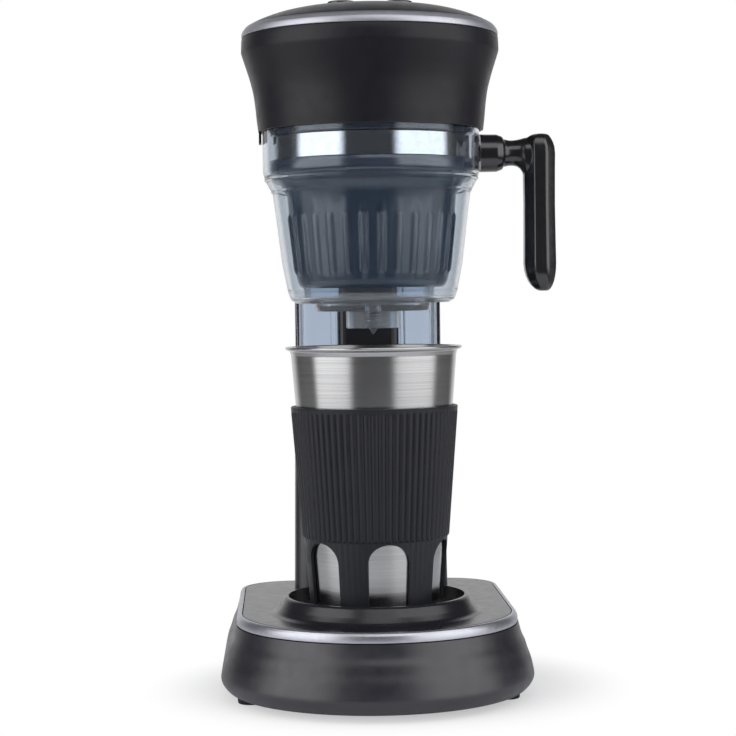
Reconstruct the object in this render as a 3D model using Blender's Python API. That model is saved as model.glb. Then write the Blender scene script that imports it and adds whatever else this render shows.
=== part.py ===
"""Drip coffee maker with a grinder in its head, a clear jug and a travel mug.

Metres, +Z up. Sizes below are set out from the brew axis, the vertical line through
the head, the jug and the mug: x to the right, y to the back, z up from the table.
The empty brew_axis then moves everything so that the model's origin is on the table
under the middle of its outline.
"""
from math import cos, pi, radians, sin

import bmesh
import bpy
from mathutils import Vector

MM = 0.001

# Shared clearances and facet counts.
GAP = 0.3 * MM
OVERRUN = 2 * MM
TURNS = 32
SMALL_TURNS = 16
TINY_TURNS = 8
SMOOTH_ANGLE = radians(38)

# Jug's main sizes. The mug, the column, the head and the filter follow them.
JUG_RADIUS = 54 * MM
JUG_TOP = 285.6 * MM
JUG_BOTTOM = 197 * MM
JUG_WALL = 2.5 * MM
JUG_OUTSIDE_SHARES = ((0.700, 0.0), (0.752, 0.018), (0.782, 0.060), (0.833, 0.220),
                      (0.889, 0.500), (0.917, 0.627), (0.981, 0.695), (1.0, 0.735),
                      (1.0, 0.982))
JUG_INSIDE_SHARES = ((1.0, 0.735), (0.917, 0.627), (0.889, 0.500), (0.796, 0.085))

# Base: a round front, straight sides and a rounded back, in levels above the table.
PLAN_RADIUS = 70 * MM
REAR_LEDGE = 5 * MM
PLAN_CORNER = 28 * MM
BASE_UNDERSIDE = 4.5 * MM
SKIRT_TOP = 37.2 * MM
SKIRT_FLARE = 8.5 * MM
SKIRT_WALL = 2.5 * MM
DECK_TOP = 42.5 * MM
DECK_THICKNESS = 3 * MM
TRIM_WIDTH = 2.8 * MM
TRIM_OVERHANG = 0.4 * MM
TRIM_SHOULDER = 1.6 * MM
COVER_THICKNESS = 2.5 * MM

# Flare and height of the skirt from its underside to its top, as shares of both.
SKIRT_LEVEL_SHARES = ((0.42, 0.0), (0.74, 0.098), (0.94, 0.156), (1.0, 0.217), (0.92, 0.339),
                      (0.80, 0.462), (0.48, 0.703), (0.27, 0.826), (0.09, 1.0))
SKIRT_INSIDE_SHARES = ((0.09, 1.0), (0.48, 0.703), (0.92, 0.339), (0.42, 0.12), (0.42, 0.0))

# Feet, screws and the posts that the screws hold.
FOOT_RADIUS = 5.8 * MM
FOOT_CHAMFER = 1.2 * MM
FOOT_INSET = 6.5 * MM
FOOT_X = PLAN_RADIUS - FOOT_INSET
FRONT_FOOT_Y = -14 * MM
REAR_FOOT_INSET = 21.5 * MM
SCREW_INSET = 9.5 * MM
FRONT_SCREW_Y = 6 * MM
REAR_SCREW_INSET = 20.5 * MM
SCREW_RADIUS = 1.5 * MM
SCREW_HEAD_RADIUS = 3 * MM
SCREW_HEAD_HEIGHT = 1.6 * MM
SCREW_LENGTH = 12 * MM
SCREW_SOCKET_RADIUS = 1.2 * MM
POST_RADIUS = 4.2 * MM

# Mug: double steel wall, rim flange, rubber sleeve and rubber pad.
MUG_FOOT = 45.5 * MM
MUG_HEIGHT = 130 * MM
MUG_SHOULDER_DROP = 4 * MM
MUG_INSET = 12.75 * MM
MUG_SHOULDER_RADIUS = JUG_RADIUS - MUG_INSET
MUG_TAPER = 9.85 * MM
MUG_BOTTOM_RADIUS = MUG_SHOULDER_RADIUS - MUG_TAPER
MUG_FLANGE_REACH = 2.95 * MM
MUG_FLANGE_RADIUS = MUG_SHOULDER_RADIUS + MUG_FLANGE_REACH
MUG_FLANGE_THICKNESS = 2.6 * MM
MUG_WALL = 1.2 * MM
MUG_LINER_SPACE = 2.6 * MM
MUG_LINER_WALL = 0.9 * MM
MUG_LINER_FLOOR_RISE = 6 * MM
PAD_THICKNESS = 1.2 * MM
PAD_MARGIN = 2.6 * MM
SLEEVE_TOP = 145.7 * MM
SLEEVE_RIB_BOTTOM = 81 * MM
SLEEVE_BOTTOM = 48 * MM
SLEEVE_SMOOTH = 1.6 * MM
SLEEVE_RIB_HEIGHT = 0.8 * MM
SLEEVE_LIP = 1.2 * MM
SLEEVE_RIBS = 72
WINDOW_COUNT = 6
WINDOW_HALF_ANGLE = radians(17.5)
WINDOW_TURN = radians(11.4)
WINDOW_TOP = 79.5 * MM
WINDOW_ARCH_STEPS = 8

# Well of the base, where the mug stands.
WELL_ROOM = 11 * MM
WELL_FLOOR_RADIUS = MUG_BOTTOM_RADIUS + WELL_ROOM
WELL_SLOPE = 3 * MM
WELL_RIM_RADIUS = WELL_FLOOR_RADIUS + WELL_SLOPE
WELL_RIM_WIDTH = 1.6 * MM
WELL_SHOULDER = 5.6 * MM
WELL_OUTER = WELL_RIM_RADIUS + WELL_SHOULDER
WELL_HEIGHT = 8.5 * MM
WELL_FLOOR_RISE = 1.7 * MM
MAT_THICKNESS = 0.7 * MM
MAT_MARGIN = 1.6 * MM
MAT_CHAMFER = 0.35 * MM

# Column behind the mug: pedestal, spine and clear tank.
SPINE_CLEARANCE = 2 * MM
SPINE_FRONT = JUG_RADIUS + SPINE_CLEARANCE
SPINE_DEPTH = 21 * MM
SPINE_REAR = SPINE_FRONT + SPINE_DEPTH
PEDESTAL_STEP = 2.5 * MM
PEDESTAL_FRONT = SPINE_FRONT - PEDESTAL_STEP
PEDESTAL_DEPTH = 60 * MM
PEDESTAL_REAR = PEDESTAL_FRONT + PEDESTAL_DEPTH
PEDESTAL_HALF_WIDTH = 40.6 * MM
PEDESTAL_TAPER = 1.2 * MM
PEDESTAL_TOP = 120 * MM
PEDESTAL_CORNER = 9 * MM
PEDESTAL_WALL = 2.4 * MM
SPINE_HALF_WIDTH = 16 * MM
SPINE_WALL = 2 * MM
SPINE_CORNER = 4 * MM
TANK_HALF_WIDTH = 38.6 * MM
TANK_SETBACK = 1.5 * MM
TANK_FRONT = SPINE_FRONT + TANK_SETBACK
TANK_DEPTH = 54 * MM
TANK_REAR = TANK_FRONT + TANK_DEPTH
TANK_CORNER = 8 * MM
TANK_WALL = 2.6 * MM
TANK_TOP = 294 * MM
TANK_NOTCH_MARGIN = 1.2 * MM
TANK_RIB_INSET = 10.6 * MM
TANK_RIB_X = TANK_HALF_WIDTH - TANK_RIB_INSET
TANK_RIB_DEPTH = 5 * MM
TANK_RIB_WIDTH = 2 * MM
OUTLET_SIDE = 11.6 * MM
OUTLET_X = TANK_HALF_WIDTH - OUTLET_SIDE
OUTLET_INSET = 16.5 * MM
OUTLET_RADIUS = 4 * MM
OUTLET_BORE = 2.4 * MM
OUTLET_DROP = 9 * MM
SEAL_THICKNESS = 2.4 * MM
LID_THICKNESS = 2.4 * MM
LID_FRONT_MARGIN = 4 * MM
LID_PIN_RADIUS = 1.2 * MM
LID_KNUCKLE_RADIUS = 3 * MM
LID_KNUCKLE_HALF_LENGTH = 15 * MM
LID_EAR_LENGTH = 5 * MM

# Head: flared shell, silver ring and dome, with the grinder's motor inside.
HEAD_BOTTOM = 282.5 * MM
HEAD_SHELL_TOP = 328.4 * MM
HEAD_WALL = 2.2 * MM
HEAD_MOUTH_WALL = 1.6 * MM
JUG_TO_HEAD = 0.4 * MM
MOUTH_SHARE = 0.875
HEAD_RADIUS = (JUG_RADIUS + JUG_TO_HEAD + HEAD_MOUTH_WALL) / MOUTH_SHARE
HEAD_TRIM_HEIGHT = 5.3 * MM
HEAD_TRIM_SLOPE = 3 * MM
HEAD_TRIM_TOP_RADIUS = HEAD_RADIUS - HEAD_TRIM_SLOPE
HEAD_TRIM_WIDTH = 2 * MM
DOME_STEP = 0.6 * MM
DOME_RADIUS = HEAD_TRIM_TOP_RADIUS - DOME_STEP
DOME_RISE = 9.8 * MM
DOME_POWER = 5
DOME_WALL = 2.2 * MM
DOME_RIM_SHARES = (1.0, 0.97, 0.91, 0.8, 0.55)
DOME_SPIGOT = 4.5 * MM
HEAD_FLARE_SHARES = ((MOUTH_SHARE, 0.0), (0.8945, 0.26), (0.911, 0.42), (0.938, 0.57),
                     (0.969, 0.71), (0.990, 0.79), (1.0, 1.0))
HEAD_INSIDE_SHARES = ((1.0, 1.0), (0.985, 0.79), (0.930, 0.55), (0.8945, 0.26))
LOCK_TAB_DROP = 6 * MM
LOCK_TAB_HALF_ANGLE = radians(5)
NECK_TOP = 318 * MM
NECK_WALL = 2.4 * MM

# Floor of the head, with the bayonet ring that the jug hangs on.
FLOOR_UNDERSIDE = 286.6 * MM
FLOOR_THICKNESS = 3 * MM
RING_CLEARANCE = 1.7 * MM
RING_RADIUS = JUG_RADIUS - JUG_WALL - RING_CLEARANCE
RING_WALL = 2.4 * MM
RING_DROP = 6.8 * MM
LUG_REACH = 1.3 * MM
LUG_HEIGHT = 2.2 * MM
LUG_COUNT = 3
LUG_HALF_ANGLE = radians(11)
LUG_TURN = radians(90)
HUB_BORE = 6.5 * MM
SHOWER_CLEARANCE = 0.8 * MM
SHOWER_RADIUS = RING_RADIUS - RING_WALL - SHOWER_CLEARANCE
SHOWER_THICKNESS = 1.4 * MM
SHOWER_DROP = 2.4 * MM
SHOWER_HOLE = 1 * MM
SHOWER_RING_SHARES = (0.43, 0.795)
SHOWER_RING_COUNTS = (5, 9)
SHOWER_TURN = radians(2.5)
SHOWER_STUD = 2.4 * MM
SHOWER_STUD_SHARE = 0.622

# Motor, shaft and blade.
MOTOR_RADIUS = 21 * MM
MOTOR_HEIGHT = 30 * MM
MOTOR_BOSS_RADIUS = 8 * MM
MOTOR_BOSS_HEIGHT = 3 * MM
MOUNT_FLANGE_RADIUS = 27.5 * MM
MOUNT_WALL = 2 * MM
MOUNT_PLATE = 2.2 * MM
MOUNT_COLLAR = 12 * MM
SHAFT_RADIUS = 3 * MM
BUSH_FLANGE_RADIUS = 9 * MM
BUSH_FLANGE = 1.2 * MM
BLADE_ABOVE_FLOOR = 9.5 * MM
BLADE_CLEARANCE = 10.2 * MM
BLADE_CHORD = 9 * MM
BLADE_THICKNESS = 1.4 * MM
BLADE_HUB_RADIUS = 7 * MM
BLADE_HUB_HEIGHT = 4 * MM
BLADE_TIP_RISE = 5 * MM
BLADE_TWIST = radians(14)
BLADE_STATION_SHARES = (-1.0, -0.78, -0.55, -0.3, -0.12, 0.12, 0.3, 0.55, 0.78, 1.0)
NUT_RADIUS = 4.6 * MM
NUT_HEIGHT = 2.6 * MM

# Buttons on the dome and the switches under them.
BUTTON_X = 14 * MM
BUTTON_Y = -8 * MM
BUTTON_RADIUS = 7 * MM
BUTTON_PROUD = 2.2 * MM
BUTTON_FLANGE = 1.3 * MM
BUTTON_FLANGE_THICKNESS = 1.2 * MM
BUTTON_TRAVEL = 1.5 * MM
BUTTON_CHAMFER = 0.8 * MM
SWITCH_HALF_SIDE = 4 * MM
SWITCH_PLATE_THICKNESS = 1.5 * MM
SWITCH_PLUNGER = 1.8 * MM

# Jug's stepped bottom, valve cage and the stub that carries the handle.
JUG_STEP_RADIUS = 29 * MM
JUG_STEP_HEIGHT = 4 * MM
JUG_STEP_DRAFT = 0.6 * MM
CAGE_RADIUS = 13.5 * MM
CAGE_WALL = 1.8 * MM
CAGE_HEIGHT = 8.5 * MM
VALVE_BORE = 3.2 * MM
SUMP_RADIUS = 24 * MM
SUMP_FLOOR = 3 * MM
HANDLE_STUB_RADIUS = 4 * MM
HANDLE_STUB_LENGTH = 6 * MM

# Handle: round collar on the jug, neck and faceted grip.
HANDLE_LEVEL = 271 * MM
COLLAR_RADIUS = 9.4 * MM
COLLAR_LENGTH = 12.2 * MM
COLLAR_CHAMFER = 3 * MM
NECK_RADIUS = 6.3 * MM
NECK_LENGTH = 9.8 * MM
GRIP_WIDTH = 15.8 * MM
GRIP_HALF_DEPTH = 9 * MM
GRIP_BOTTOM = 202 * MM
GRIP_TOP = 280.4 * MM
GRIP_FACET = 4.6 * MM
# Height, width and depth of the grip's sections as shares, from its foot to its top.
GRIP_SECTION_SHARES = ((0.0, 0.5, 0.46), (0.035, 0.84, 0.78), (0.10, 1.0, 1.0),
                       (0.55, 0.96, 0.96), (0.94, 1.0, 1.0), (0.985, 0.86, 0.84),
                       (1.0, 0.66, 0.62))
HANDLE_SCREW_RADIUS = 1.6 * MM
HANDLE_SCREW_HEAD = 3 * MM
HANDLE_SCREW_HEAD_LENGTH = 2.4 * MM
HANDLE_SCREW_DEPTH = 4 * MM

# Filter: fluted basket, mesh cup and steel collar.
BASKET_TOP = 249 * MM
BASKET_ABOVE_JUG = 7.5 * MM
BASKET_BOTTOM = JUG_BOTTOM + BASKET_ABOVE_JUG
BASKET_MARGIN = 3.3 * MM
BASKET_TOP_RADIUS = JUG_RADIUS * JUG_INSIDE_SHARES[2][0] - JUG_WALL - BASKET_MARGIN
BASKET_BOTTOM_RADIUS = JUG_RADIUS * JUG_INSIDE_SHARES[3][0] - JUG_WALL - BASKET_MARGIN
BASKET_CORNER = 3.6 * MM
BASKET_WALL = 1.4 * MM
BASKET_RIBS = 30
RIB_HEIGHT = 0.8 * MM
RIB_MARGIN_BELOW = 8.5 * MM
RIB_MARGIN_ABOVE = 5.5 * MM
RIB_RAMP = 1.6 * MM
FLANGE_BOTTOM = 260.8 * MM
FLANGE_TOP = 267.6 * MM
FLANGE_MARGIN = 0.9 * MM
FLANGE_RADIUS = JUG_RADIUS - JUG_WALL - FLANGE_MARGIN
MESH_THICKNESS = 0.8 * MM
STEEL_COLLAR_STEP = 1.6 * MM
STEEL_COLLAR_RADIUS = FLANGE_RADIUS - STEEL_COLLAR_STEP
STEEL_COLLAR_WALL = 1 * MM
STEEL_COLLAR_TOP = 279.2 * MM

# Drip stop: stem, spring and seal in the valve cage.
STEM_RADIUS = 2.4 * MM
STEM_TIP = 181.5 * MM
STEM_CONE = 4.2 * MM
STEM_FLANGE_RADIUS = 5.6 * MM
STEM_FLANGE = 1.2 * MM
STEM_ABOVE_SUMP = 2.6 * MM
SPRING_RADIUS = 4.2 * MM
SPRING_WIRE = 0.35 * MM
SPRING_CURLS = 4
SPRING_POINTS = 8
SEAL_RADIUS = 7 * MM

# Heater, board, hoses and gland in the base.
BOILER_X = 0 * MM
BOILER_INSET = 44.5 * MM
BOILER_OUTER = 32 * MM
BOILER_INNER = 15 * MM
BOILER_LEG = 14 * MM
BOILER_HEIGHT = 16 * MM
BOILER_STAND = 3 * MM
BOILER_ARC_STEPS = 12
THERMOSTAT_RADIUS = 7 * MM
THERMOSTAT_HEIGHT = 4 * MM
BOARD_HALF_WIDTH = 26 * MM
BOARD_FRONT = -40 * MM
BOARD_REAR = 2 * MM
BOARD_THICKNESS = 1.6 * MM
BOARD_STAND = 6 * MM
STAND_RADIUS = 3 * MM
HOSE_RADIUS = 3.2 * MM
RISER_RADIUS = 2.5 * MM
RISER_X = 7 * MM
RISER_SETBACK = 10.5 * MM
RISER_CREST = 305 * MM
RISER_END_X = 17 * MM
RISER_END_Y = 30 * MM
GLAND_INSET = 6 * MM
GLAND_X = PLAN_CORNER + GLAND_INSET - PLAN_RADIUS
GLAND_LEVEL = 20 * MM
GLAND_RADIUS = 6.5 * MM
GLAND_FLANGE = 2.5 * MM
GLAND_FLANGE_THICKNESS = 1.2 * MM
GLAND_BORE = 3.4 * MM

# Places that follow from the sizes above.
PLAN_REAR = PEDESTAL_REAR + REAR_LEDGE
REAR_FOOT_Y = PLAN_REAR - REAR_FOOT_INSET
SCREW_X = FOOT_X - SCREW_INSET
REAR_SCREW_Y = PLAN_REAR - REAR_SCREW_INSET
OUTLET_Y = TANK_REAR - OUTLET_INSET
COLLAR_END = JUG_RADIUS + COLLAR_LENGTH
GRIP_INSIDE = COLLAR_END + NECK_LENGTH
GRIP_OUTSIDE = GRIP_INSIDE + GRIP_WIDTH
RIB_START = BASKET_BOTTOM + RIB_MARGIN_BELOW
RIB_END = BASKET_TOP - RIB_MARGIN_ABOVE
BLADE_LEVEL = BASKET_BOTTOM + BLADE_ABOVE_FLOOR
BLADE_REACH = BASKET_BOTTOM_RADIUS - BLADE_CLEARANCE
BOILER_Y = PLAN_REAR - BOILER_INSET
RISER_Y = SPINE_FRONT + RISER_SETBACK
FRAME_X = (PLAN_RADIUS + SKIRT_FLARE - GRIP_OUTSIDE) / 2
FRAME_Y = (PLAN_RADIUS - PLAN_REAR) / 2
MUG_RIM = MUG_FOOT + MUG_HEIGHT
MUG_SHOULDER = MUG_RIM - MUG_SHOULDER_DROP
MUG_BODY_BOTTOM = MUG_FOOT + PAD_THICKNESS + GAP
COVER_TOP = BASE_UNDERSIDE + COVER_THICKNESS
TRIM_BOTTOM = SKIRT_TOP + GAP
TANK_BOTTOM = PEDESTAL_TOP + GAP
LID_BOTTOM = TANK_TOP + GAP
LID_PIN_Y = TANK_REAR + LID_KNUCKLE_RADIUS + GAP
LID_PIN_Z = LID_BOTTOM + LID_THICKNESS / 2
TRIM_RING_BOTTOM = HEAD_SHELL_TOP + GAP
TRIM_RING_TOP = TRIM_RING_BOTTOM + HEAD_TRIM_HEIGHT
DOME_BOTTOM = TRIM_RING_TOP + GAP
DOME_TOP = DOME_BOTTOM + DOME_RISE * (1 - DOME_RIM_SHARES[-1] ** DOME_POWER)
FLOOR_TOP = FLOOR_UNDERSIDE + FLOOR_THICKNESS
RING_BOTTOM = FLOOR_UNDERSIDE - RING_DROP
MOUNT_BOTTOM = FLOOR_TOP + GAP
MOTOR_BOTTOM = MOUNT_BOTTOM + MOUNT_PLATE + GAP
SUMP_LEVEL = JUG_BOTTOM - JUG_STEP_HEIGHT + SUMP_FLOOR
CAGE_CEILING = SUMP_LEVEL - JUG_WALL
CAGE_BOTTOM = JUG_BOTTOM - JUG_STEP_HEIGHT - CAGE_HEIGHT
BOILER_BOTTOM = COVER_TOP + BOILER_STAND + GAP
BOILER_TOP = BOILER_BOTTOM + BOILER_HEIGHT
BOARD_BOTTOM = COVER_TOP + BOARD_STAND + GAP
SWITCH_PLATE_BOTTOM = DOME_BOTTOM - DOME_SPIGOT
BUTTON_TOP = DOME_TOP + BUTTON_PROUD
BUTTON_SEAT = DOME_TOP - DOME_WALL - GAP - BUTTON_FLANGE_THICKNESS


# Making meshes.

def circle(radius, height, sides):
    """Points round the Z axis at one height."""
    return [Vector((radius * cos(2 * pi * i / sides), radius * sin(2 * pi * i / sides), height))
            for i in range(sides)]


def at_height(outline, height):
    return [Vector((x, y, height)) for x, y in outline]


def arc(centre_x, centre_y, radius, start, end, steps):
    """Points of a flat arc, both ends included."""
    turns = [start + (end - start) * i / steps for i in range(steps + 1)]
    return [(centre_x + radius * cos(turn), centre_y + radius * sin(turn)) for turn in turns]


def base_plan(grow):
    """Outline of the base seen from above, moved outward by grow."""
    radius = PLAN_RADIUS + grow
    corner = PLAN_CORNER + grow
    inner_x = PLAN_RADIUS - PLAN_CORNER
    inner_y = PLAN_REAR - PLAN_CORNER
    return (arc(0, 0, radius, pi, 2 * pi, 20)
            + arc(inner_x, inner_y, corner, 0, pi / 2, 4)
            + arc(-inner_x, inner_y, corner, pi / 2, pi, 4))


def rounded_rectangle(half_width, front, rear, corner, steps=4):
    x = half_width - corner
    return (arc(-x, front + corner, corner, pi, 1.5 * pi, steps)
            + arc(x, front + corner, corner, 1.5 * pi, 2 * pi, steps)
            + arc(x, rear - corner, corner, 0, pi / 2, steps)
            + arc(-x, rear - corner, corner, pi / 2, pi, steps))


def loft(mesh, rings, ring=False):
    """Skin a row of outlines with as many points each; ring joins the last to the first."""
    rows = [[mesh.verts.new(point) for point in outline] for outline in rings]
    count = len(rows[0])
    pairs = list(zip(rows, rows[1:]))
    if ring:
        pairs.append((rows[-1], rows[0]))
    else:
        mesh.faces.new(rows[0][::-1])
        mesh.faces.new(rows[-1])
    for low, high in pairs:
        for i in range(count):
            j = (i + 1) % count
            mesh.faces.new((low[i], low[j], high[j], high[i]))


def finish(name, mesh, material, parent):
    """Turn a bmesh into a named object with outward faces and smooth round sides."""
    bmesh.ops.recalc_face_normals(mesh, faces=mesh.faces)
    data = bpy.data.meshes.new(name)
    mesh.to_mesh(data)
    mesh.free()
    data.shade_smooth()
    data.set_sharp_from_angle(angle=SMOOTH_ANGLE)
    made = bpy.data.objects.new(name, data)
    if material:
        data.materials.append(material)
    made.parent = parent
    bpy.context.scene.collection.objects.link(made)
    return made


def lofted(name, rings, material, parent, ring=False):
    mesh = bmesh.new()
    loft(mesh, rings, ring)
    return finish(name, mesh, material, parent)


def turned(name, profile, material, parent, sides=TURNS, ring=False):
    """A turned piece from its radii and heights; ring closes the profile on itself."""
    rings = [circle(radius, height, sides) for radius, height in profile]
    return lofted(name, rings, material, parent, ring)


def slab(name, outline, bottom, top, material, parent):
    return lofted(name, [at_height(outline, bottom), at_height(outline, top)], material, parent)


def posts(name, places, radius, bottom, top, parent, sides=TINY_TURNS):
    """Upright cylinders at each place, as one hidden shape for a Boolean."""
    mesh = bmesh.new()
    for x, y in places:
        shift = Vector((x, y, 0))
        loft(mesh, [[point + shift for point in circle(radius, height, sides)]
                    for height in (bottom, top)])
    return hidden(finish(name, mesh, None, parent))


def hidden(guide):
    guide.hide_render = True
    guide.display_type = "WIRE"
    return guide


def combine(target, tool, operation):
    change = target.modifiers.new(tool.name, "BOOLEAN")
    change.operation = operation
    change.solver = "EXACT"
    change.object = tool


def cut(target, tool):
    combine(target, hidden(tool), "DIFFERENCE")


def fuse(target, extra):
    combine(target, hidden(extra), "UNION")


def chamfer(piece, width, steps=1):
    edge = piece.modifiers.new("edges", "BEVEL")
    edge.width = width
    edge.segments = steps
    edge.limit_method = "ANGLE"
    edge.angle_limit = radians(50)


def sector(mesh, inner, outer, bottom, top, middle, half_angle, steps=4):
    """One block of a ring between two radii, two heights and two angles."""
    start = middle - half_angle
    end = middle + half_angle
    outline = (arc(0, 0, outer, start, end, steps) + arc(0, 0, inner, end, start, steps))
    loft(mesh, [at_height(outline, bottom), at_height(outline, top)])


def sectors(name, inner, outer, bottom, top, count, first, half_angle, parent):
    mesh = bmesh.new()
    for number in range(count):
        sector(mesh, inner, outer, bottom, top, first + 2 * pi * number / count, half_angle)
    return finish(name, mesh, None, parent)


def tube(name, points, radius, material, parent, resolution=2):
    """A round tube along a smooth line through the points."""
    data = bpy.data.curves.new(name, "CURVE")
    data.dimensions = "3D"
    data.bevel_depth = radius
    data.bevel_resolution = resolution
    data.use_fill_caps = True
    data.resolution_u = 1
    data.render_resolution_u = 0
    line = data.splines.new("POLY")
    line.points.add(len(points) - 1)
    for place, point in zip(line.points, points):
        place.co = (*point, 1)
    data.materials.append(material)
    made = bpy.data.objects.new(name, data)
    made.parent = parent
    bpy.context.scene.collection.objects.link(made)
    return made


def smooth_route(corners, steps=5):
    """A smooth curve through a few chosen corners, with its first and last runs straight."""
    route = [corners[0]]
    for before, start, end, after in zip(corners, corners[1:], corners[2:], corners[3:]):
        for step in range(steps):
            t = step / steps
            route.append(0.5 * ((2 * start) + (end - before) * t
                                + (2 * before - 5 * start + 4 * end - after) * t * t
                                + (3 * start - before - 3 * end + after) * t * t * t))
    return route + corners[-2:]


def empty(name, place, parent=None):
    made = bpy.data.objects.new(name, None)
    made.empty_display_size = PLAN_RADIUS / 4
    made.location = place
    made.parent = parent
    bpy.context.scene.collection.objects.link(made)
    return made


def flared(shares, radius, bottom, top, less=0):
    """Radii and heights from shares of a radius and of a height."""
    return [(radius * across - less, bottom + (top - bottom) * up) for across, up in shares]


# Materials.

def paint(name, colour, roughness, metallic=0.0, alpha=1.0):
    material = bpy.data.materials.new(name)
    material.use_nodes = True
    surface = material.node_tree.nodes["Principled BSDF"]
    surface.inputs["Base Color"].default_value = (*colour, 1.0)
    surface.inputs["Roughness"].default_value = roughness
    surface.inputs["Metallic"].default_value = metallic
    surface.inputs["Alpha"].default_value = alpha
    material.diffuse_color = (*colour, alpha)
    return material


def charcoal_plastic():
    return paint("charcoal_plastic", (0.018, 0.018, 0.023), 0.34)


def black_plastic():
    return paint("black_plastic", (0.010, 0.010, 0.012), 0.16)


def clear_plastic():
    return paint("clear_plastic", (0.62, 0.70, 0.76), 0.05, alpha=0.35)


def smoke_plastic():
    return paint("smoke_plastic", (0.030, 0.045, 0.070), 0.20)


def satin_silver():
    return paint("satin_silver", (0.46, 0.47, 0.52), 0.32, metallic=0.85)


def polished_steel():
    return paint("polished_steel", (0.74, 0.75, 0.77), 0.08, metallic=1.0)


def brushed_steel():
    return paint("brushed_steel", (0.52, 0.52, 0.53), 0.34, metallic=1.0)


def rubber():
    return paint("rubber", (0.016, 0.016, 0.019), 0.62)


def cast_aluminium():
    return paint("cast_aluminium", (0.60, 0.61, 0.62), 0.48, metallic=1.0)


def silicone():
    return paint("silicone", (0.75, 0.74, 0.72), 0.45)


def circuit_board():
    return paint("circuit_board", (0.02, 0.13, 0.05), 0.50)


# Base.

def skirt_profile(shares, less=0):
    return [(SKIRT_FLARE * out - less, BASE_UNDERSIDE + (SKIRT_TOP - BASE_UNDERSIDE) * up)
            for out, up in shares]


def make_base_skirt(axis, material):
    levels = skirt_profile(SKIRT_LEVEL_SHARES) + skirt_profile(SKIRT_INSIDE_SHARES, SKIRT_WALL)
    rings = [at_height(base_plan(grow), height) for grow, height in levels]
    skirt = lofted("base_skirt", rings, material, axis, ring=True)
    hole = turned("gland_hole", [(GLAND_RADIUS + GAP, -PLAN_CORNER),
                                 (GLAND_RADIUS + GAP, PLAN_CORNER)],
                  None, axis, SMALL_TURNS)
    hole.rotation_euler = (pi / 2, 0, 0)
    hole.location = (GLAND_X, PLAN_REAR, GLAND_LEVEL)
    cut(skirt, hole)


def make_base_trim(axis, material):
    inner = TRIM_OVERHANG - TRIM_WIDTH
    height = DECK_TOP - TRIM_BOTTOM
    levels = ((TRIM_OVERHANG, TRIM_BOTTOM),
              (TRIM_OVERHANG - TRIM_SHOULDER * 0.25, TRIM_BOTTOM + height * 0.5),
              (TRIM_OVERHANG - TRIM_SHOULDER * 0.7, TRIM_BOTTOM + height * 0.85),
              (TRIM_OVERHANG - TRIM_SHOULDER, DECK_TOP),
              (inner, DECK_TOP),
              (inner, TRIM_BOTTOM))
    rings = [at_height(base_plan(grow), level) for grow, level in levels]
    lofted("base_trim", rings, material, axis, ring=True)


def screw_places():
    return [(side * SCREW_X, y) for y in (FRONT_SCREW_Y, REAR_SCREW_Y) for side in (-1, 1)]


def foot_places():
    return [(side * FOOT_X, y) for y in (FRONT_FOOT_Y, REAR_FOOT_Y) for side in (-1, 1)]


def make_top_deck(axis, material):
    edge = TRIM_OVERHANG - TRIM_WIDTH - GAP
    deck = slab("top_deck", base_plan(edge), DECK_TOP - DECK_THICKNESS, DECK_TOP, material, axis)
    middle = DECK_TOP - DECK_THICKNESS / 2
    rim = DECK_TOP + WELL_HEIGHT
    floor = DECK_TOP + WELL_FLOOR_RISE
    well = turned("well", [(WELL_OUTER, middle),
                           (WELL_OUTER, DECK_TOP + WELL_HEIGHT * 0.06),
                           (WELL_OUTER * 0.965, DECK_TOP + WELL_HEIGHT * 0.3),
                           (WELL_RIM_RADIUS + WELL_RIM_WIDTH * 0.25, rim - WELL_HEIGHT * 0.12),
                           (WELL_RIM_RADIUS, rim),
                           (WELL_RIM_RADIUS - WELL_RIM_WIDTH, rim),
                           (WELL_FLOOR_RADIUS, floor)], None, axis)
    fuse(deck, well)
    fuse(deck, posts("deck_posts", screw_places(), POST_RADIUS,
                     COVER_TOP + GAP, middle, axis))
    cut(deck, posts("post_bores", screw_places(), SCREW_RADIUS + GAP,
                    BASE_UNDERSIDE, COVER_TOP + SCREW_LENGTH + OVERRUN, axis))
    inset = PEDESTAL_WALL + OVERRUN
    opening = rounded_rectangle(PEDESTAL_HALF_WIDTH - inset, PEDESTAL_FRONT + inset,
                                PEDESTAL_REAR - inset, PEDESTAL_CORNER)
    cut(deck, slab("deck_opening", opening, DECK_TOP - DECK_THICKNESS - OVERRUN,
                   DECK_TOP + OVERRUN, None, axis))


def make_cup_mat(axis, material):
    bottom = DECK_TOP + WELL_FLOOR_RISE + GAP
    radius = WELL_FLOOR_RADIUS - MAT_MARGIN
    top = bottom + MAT_THICKNESS
    turned("cup_mat", [(radius, bottom), (radius, top - MAT_CHAMFER),
                       (radius - MAT_CHAMFER, top)], material, axis)


def make_bottom_cover(axis, material):
    edge = SKIRT_FLARE * SKIRT_LEVEL_SHARES[0][0] - SKIRT_WALL - GAP
    cover = slab("bottom_cover", base_plan(edge), BASE_UNDERSIDE, COVER_TOP, material, axis)
    middle = BASE_UNDERSIDE + COVER_THICKNESS / 2
    fuse(cover, posts("board_stands", board_stand_places(), STAND_RADIUS, middle,
                      COVER_TOP + BOARD_STAND, axis))
    fuse(cover, posts("boiler_stands", boiler_stand_places(), STAND_RADIUS, middle,
                      COVER_TOP + BOILER_STAND, axis))
    cut(cover, posts("cover_holes", screw_places(), SCREW_RADIUS + GAP,
                     BASE_UNDERSIDE - OVERRUN, COVER_TOP + OVERRUN, axis))
    cut(cover, posts("cover_recesses", screw_places(), SCREW_HEAD_RADIUS + GAP,
                     BASE_UNDERSIDE - OVERRUN, BASE_UNDERSIDE + SCREW_HEAD_HEIGHT + GAP, axis))


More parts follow.
